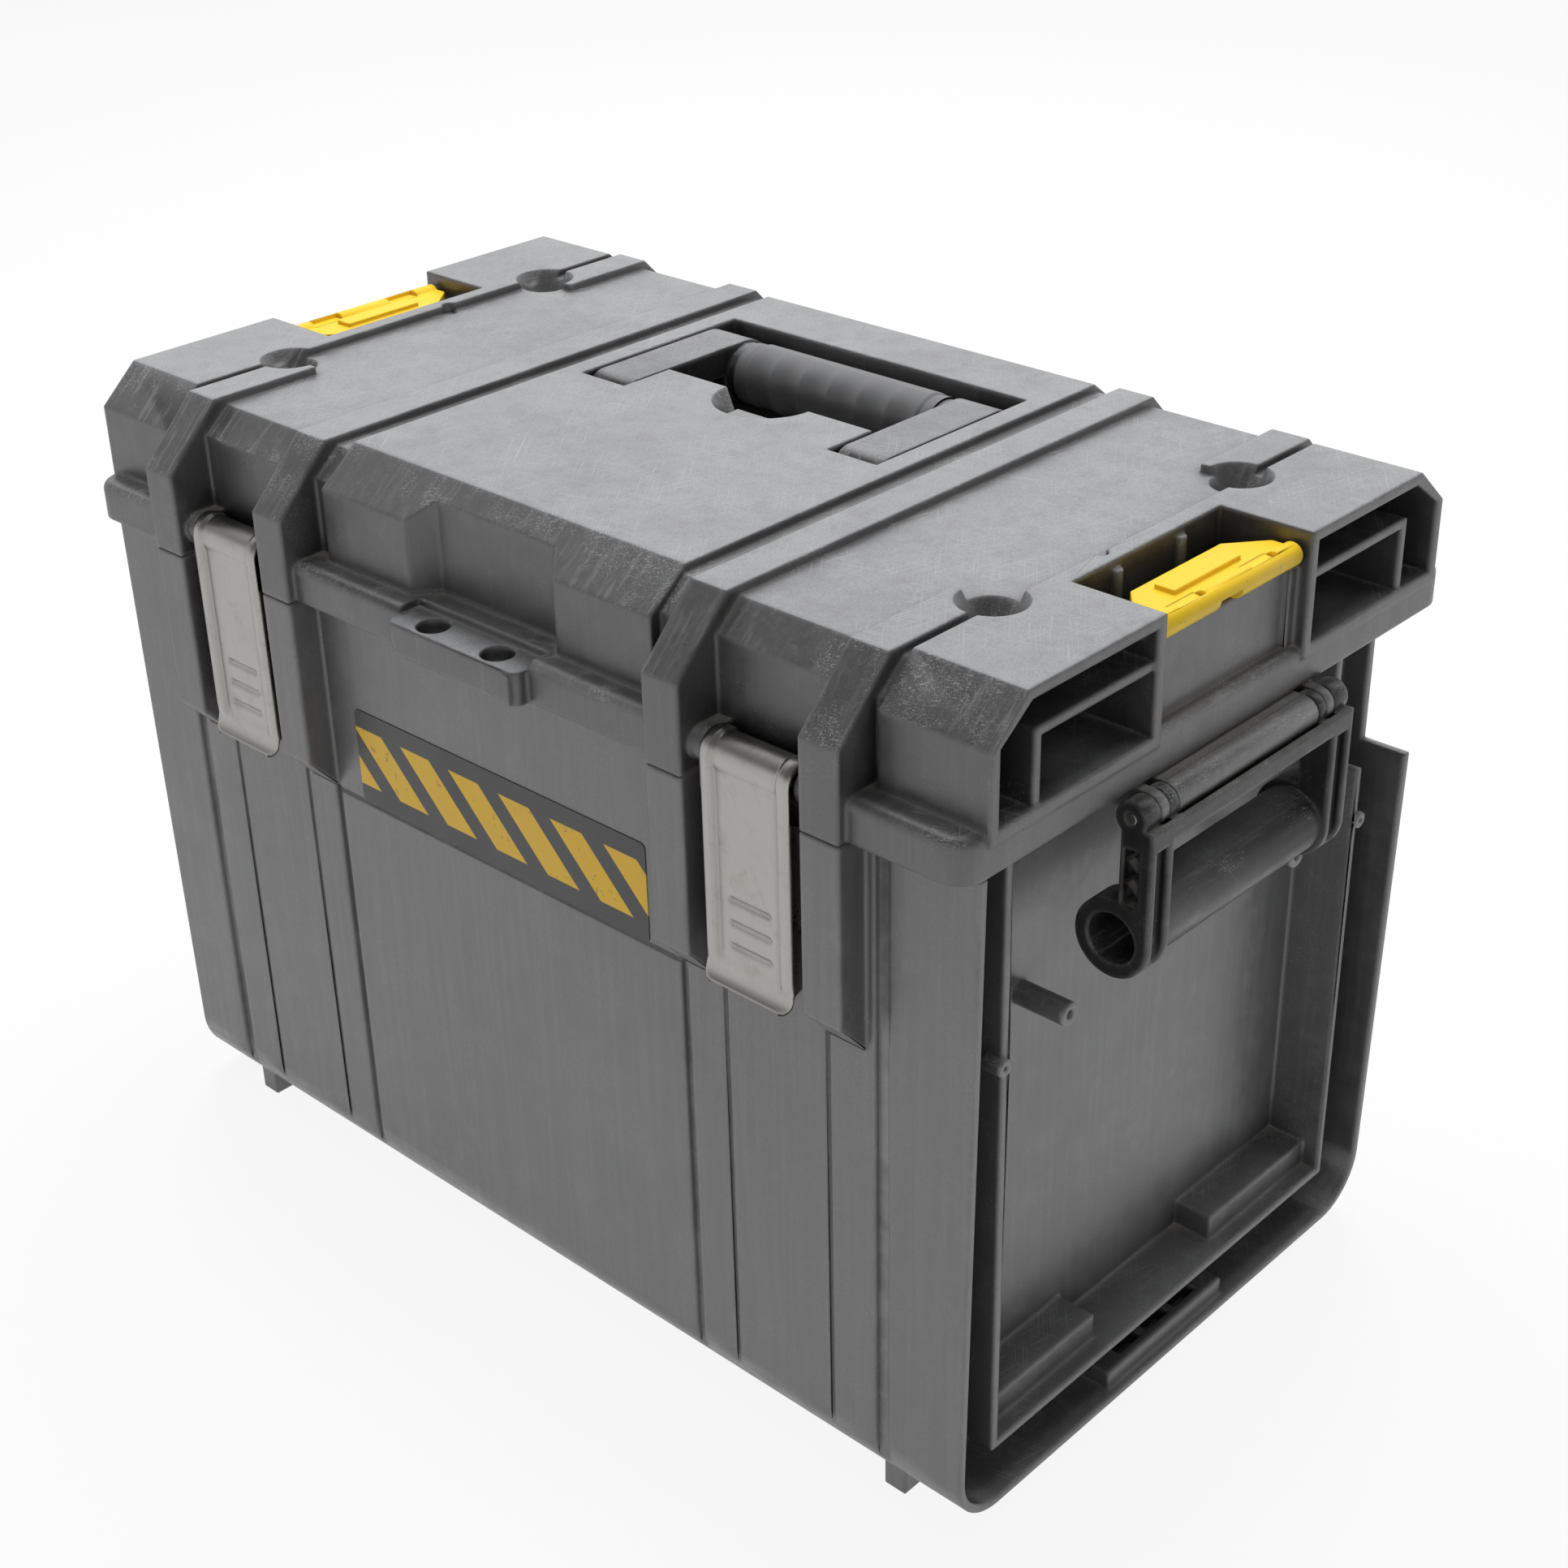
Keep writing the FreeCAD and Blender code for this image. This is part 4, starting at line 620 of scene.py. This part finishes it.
def make_world():
    """Dim even light that the camera sees as white.

    Gloss sees white behind the box and low down, and a darker room elsewhere.
    """
    world = bpy.data.worlds.new("studio")
    bpy.context.scene.world = world
    world.use_nodes = True
    tree = Tree(world.node_tree)
    path = tree.node("ShaderNodeLightPath", {}).outputs
    direction = tree.node("ShaderNodeTexCoord", {}).outputs["Generated"]
    facing = tree.node("ShaderNodeVectorMath", {0: direction, 1: BACKDROP_SIDE}, operation="DOT_PRODUCT")
    toward = facing.outputs["Value"]
    height = tree.node("ShaderNodeSeparateXYZ", {0: direction}).outputs["Z"]
    behind = tree.ease(toward, BACKDROP_START, BACKDROP_FULL, ROOM_DARK, BACKDROP_WHITE, curve="LINEAR")
    low_down = tree.ease(height, LOW_FULL, LOW_END, BACKDROP_WHITE, ROOM_DARK, curve="LINEAR")
    mirrored = tree.most(path["Is Glossy Ray"], path["Is Transmission Ray"])
    reflected = tree.times(mirrored, tree.most(behind, low_down))
    seen = tree.times(path["Is Camera Ray"], HORIZON_WHITE)
    background = tree.nodes["Background"].inputs
    tree.feed(background["Color"], grey(1.0))
    tree.feed(background["Strength"], tree.most(seen, reflected, WORLD_LIGHT))


def soft_light(name, place, target, width, power):
    """Square lamp that lights the box and isn't mirrored in it."""
    lamp = bpy.data.lights.new(name, "AREA")
    lamp.shape = "SQUARE"
    lamp.size = width
    lamp.energy = power
    holder = add_object(name, lamp)
    holder.visible_glossy = False
    aim = Vector(target) - Vector(place)
    holder.matrix_world = Matrix.Translation(place) @ aim.to_track_quat("-Z", "Y").to_matrix().to_4x4()


def make_camera():
    lens = bpy.data.cameras.new("photo_camera")
    lens.sensor_width = SENSOR
    lens.lens = PHOTO_FOCAL / PHOTO_SIDE * SENSOR
    lens.clip_start = CLIP_NEAR
    lens.clip_end = CLIP_FAR
    camera = add_object("photo_camera", lens)
    forward = Vector(CAMERA_FORWARD).normalized()
    right = Vector(CAMERA_RIGHT)
    right = (right - forward * right.dot(forward)).normalized()
    turn = Matrix((right, right.cross(forward), -forward)).transposed()
    camera.matrix_world = Matrix.Translation(CAMERA_PLACE) @ turn.to_4x4()
    bpy.context.scene.camera = camera


dress()
make_floor()
make_world()
soft_light("top_softbox", place=(-0.5, 0.6, 2.8), target=(0.0, 0.0, 0.3), width=2.4, power=85.0)
soft_light("back_softbox", place=(-1.7, 2.0, 1.7), target=(0.0, 0.0, 0.3), width=1.8, power=16.0)
soft_light("camera_fill", place=(1.6, -1.7, 0.9), target=(0.0, 0.0, 0.2), width=1.2, power=6.0)
make_camera()
bpy.context.scene.view_settings.view_transform = "Standard"
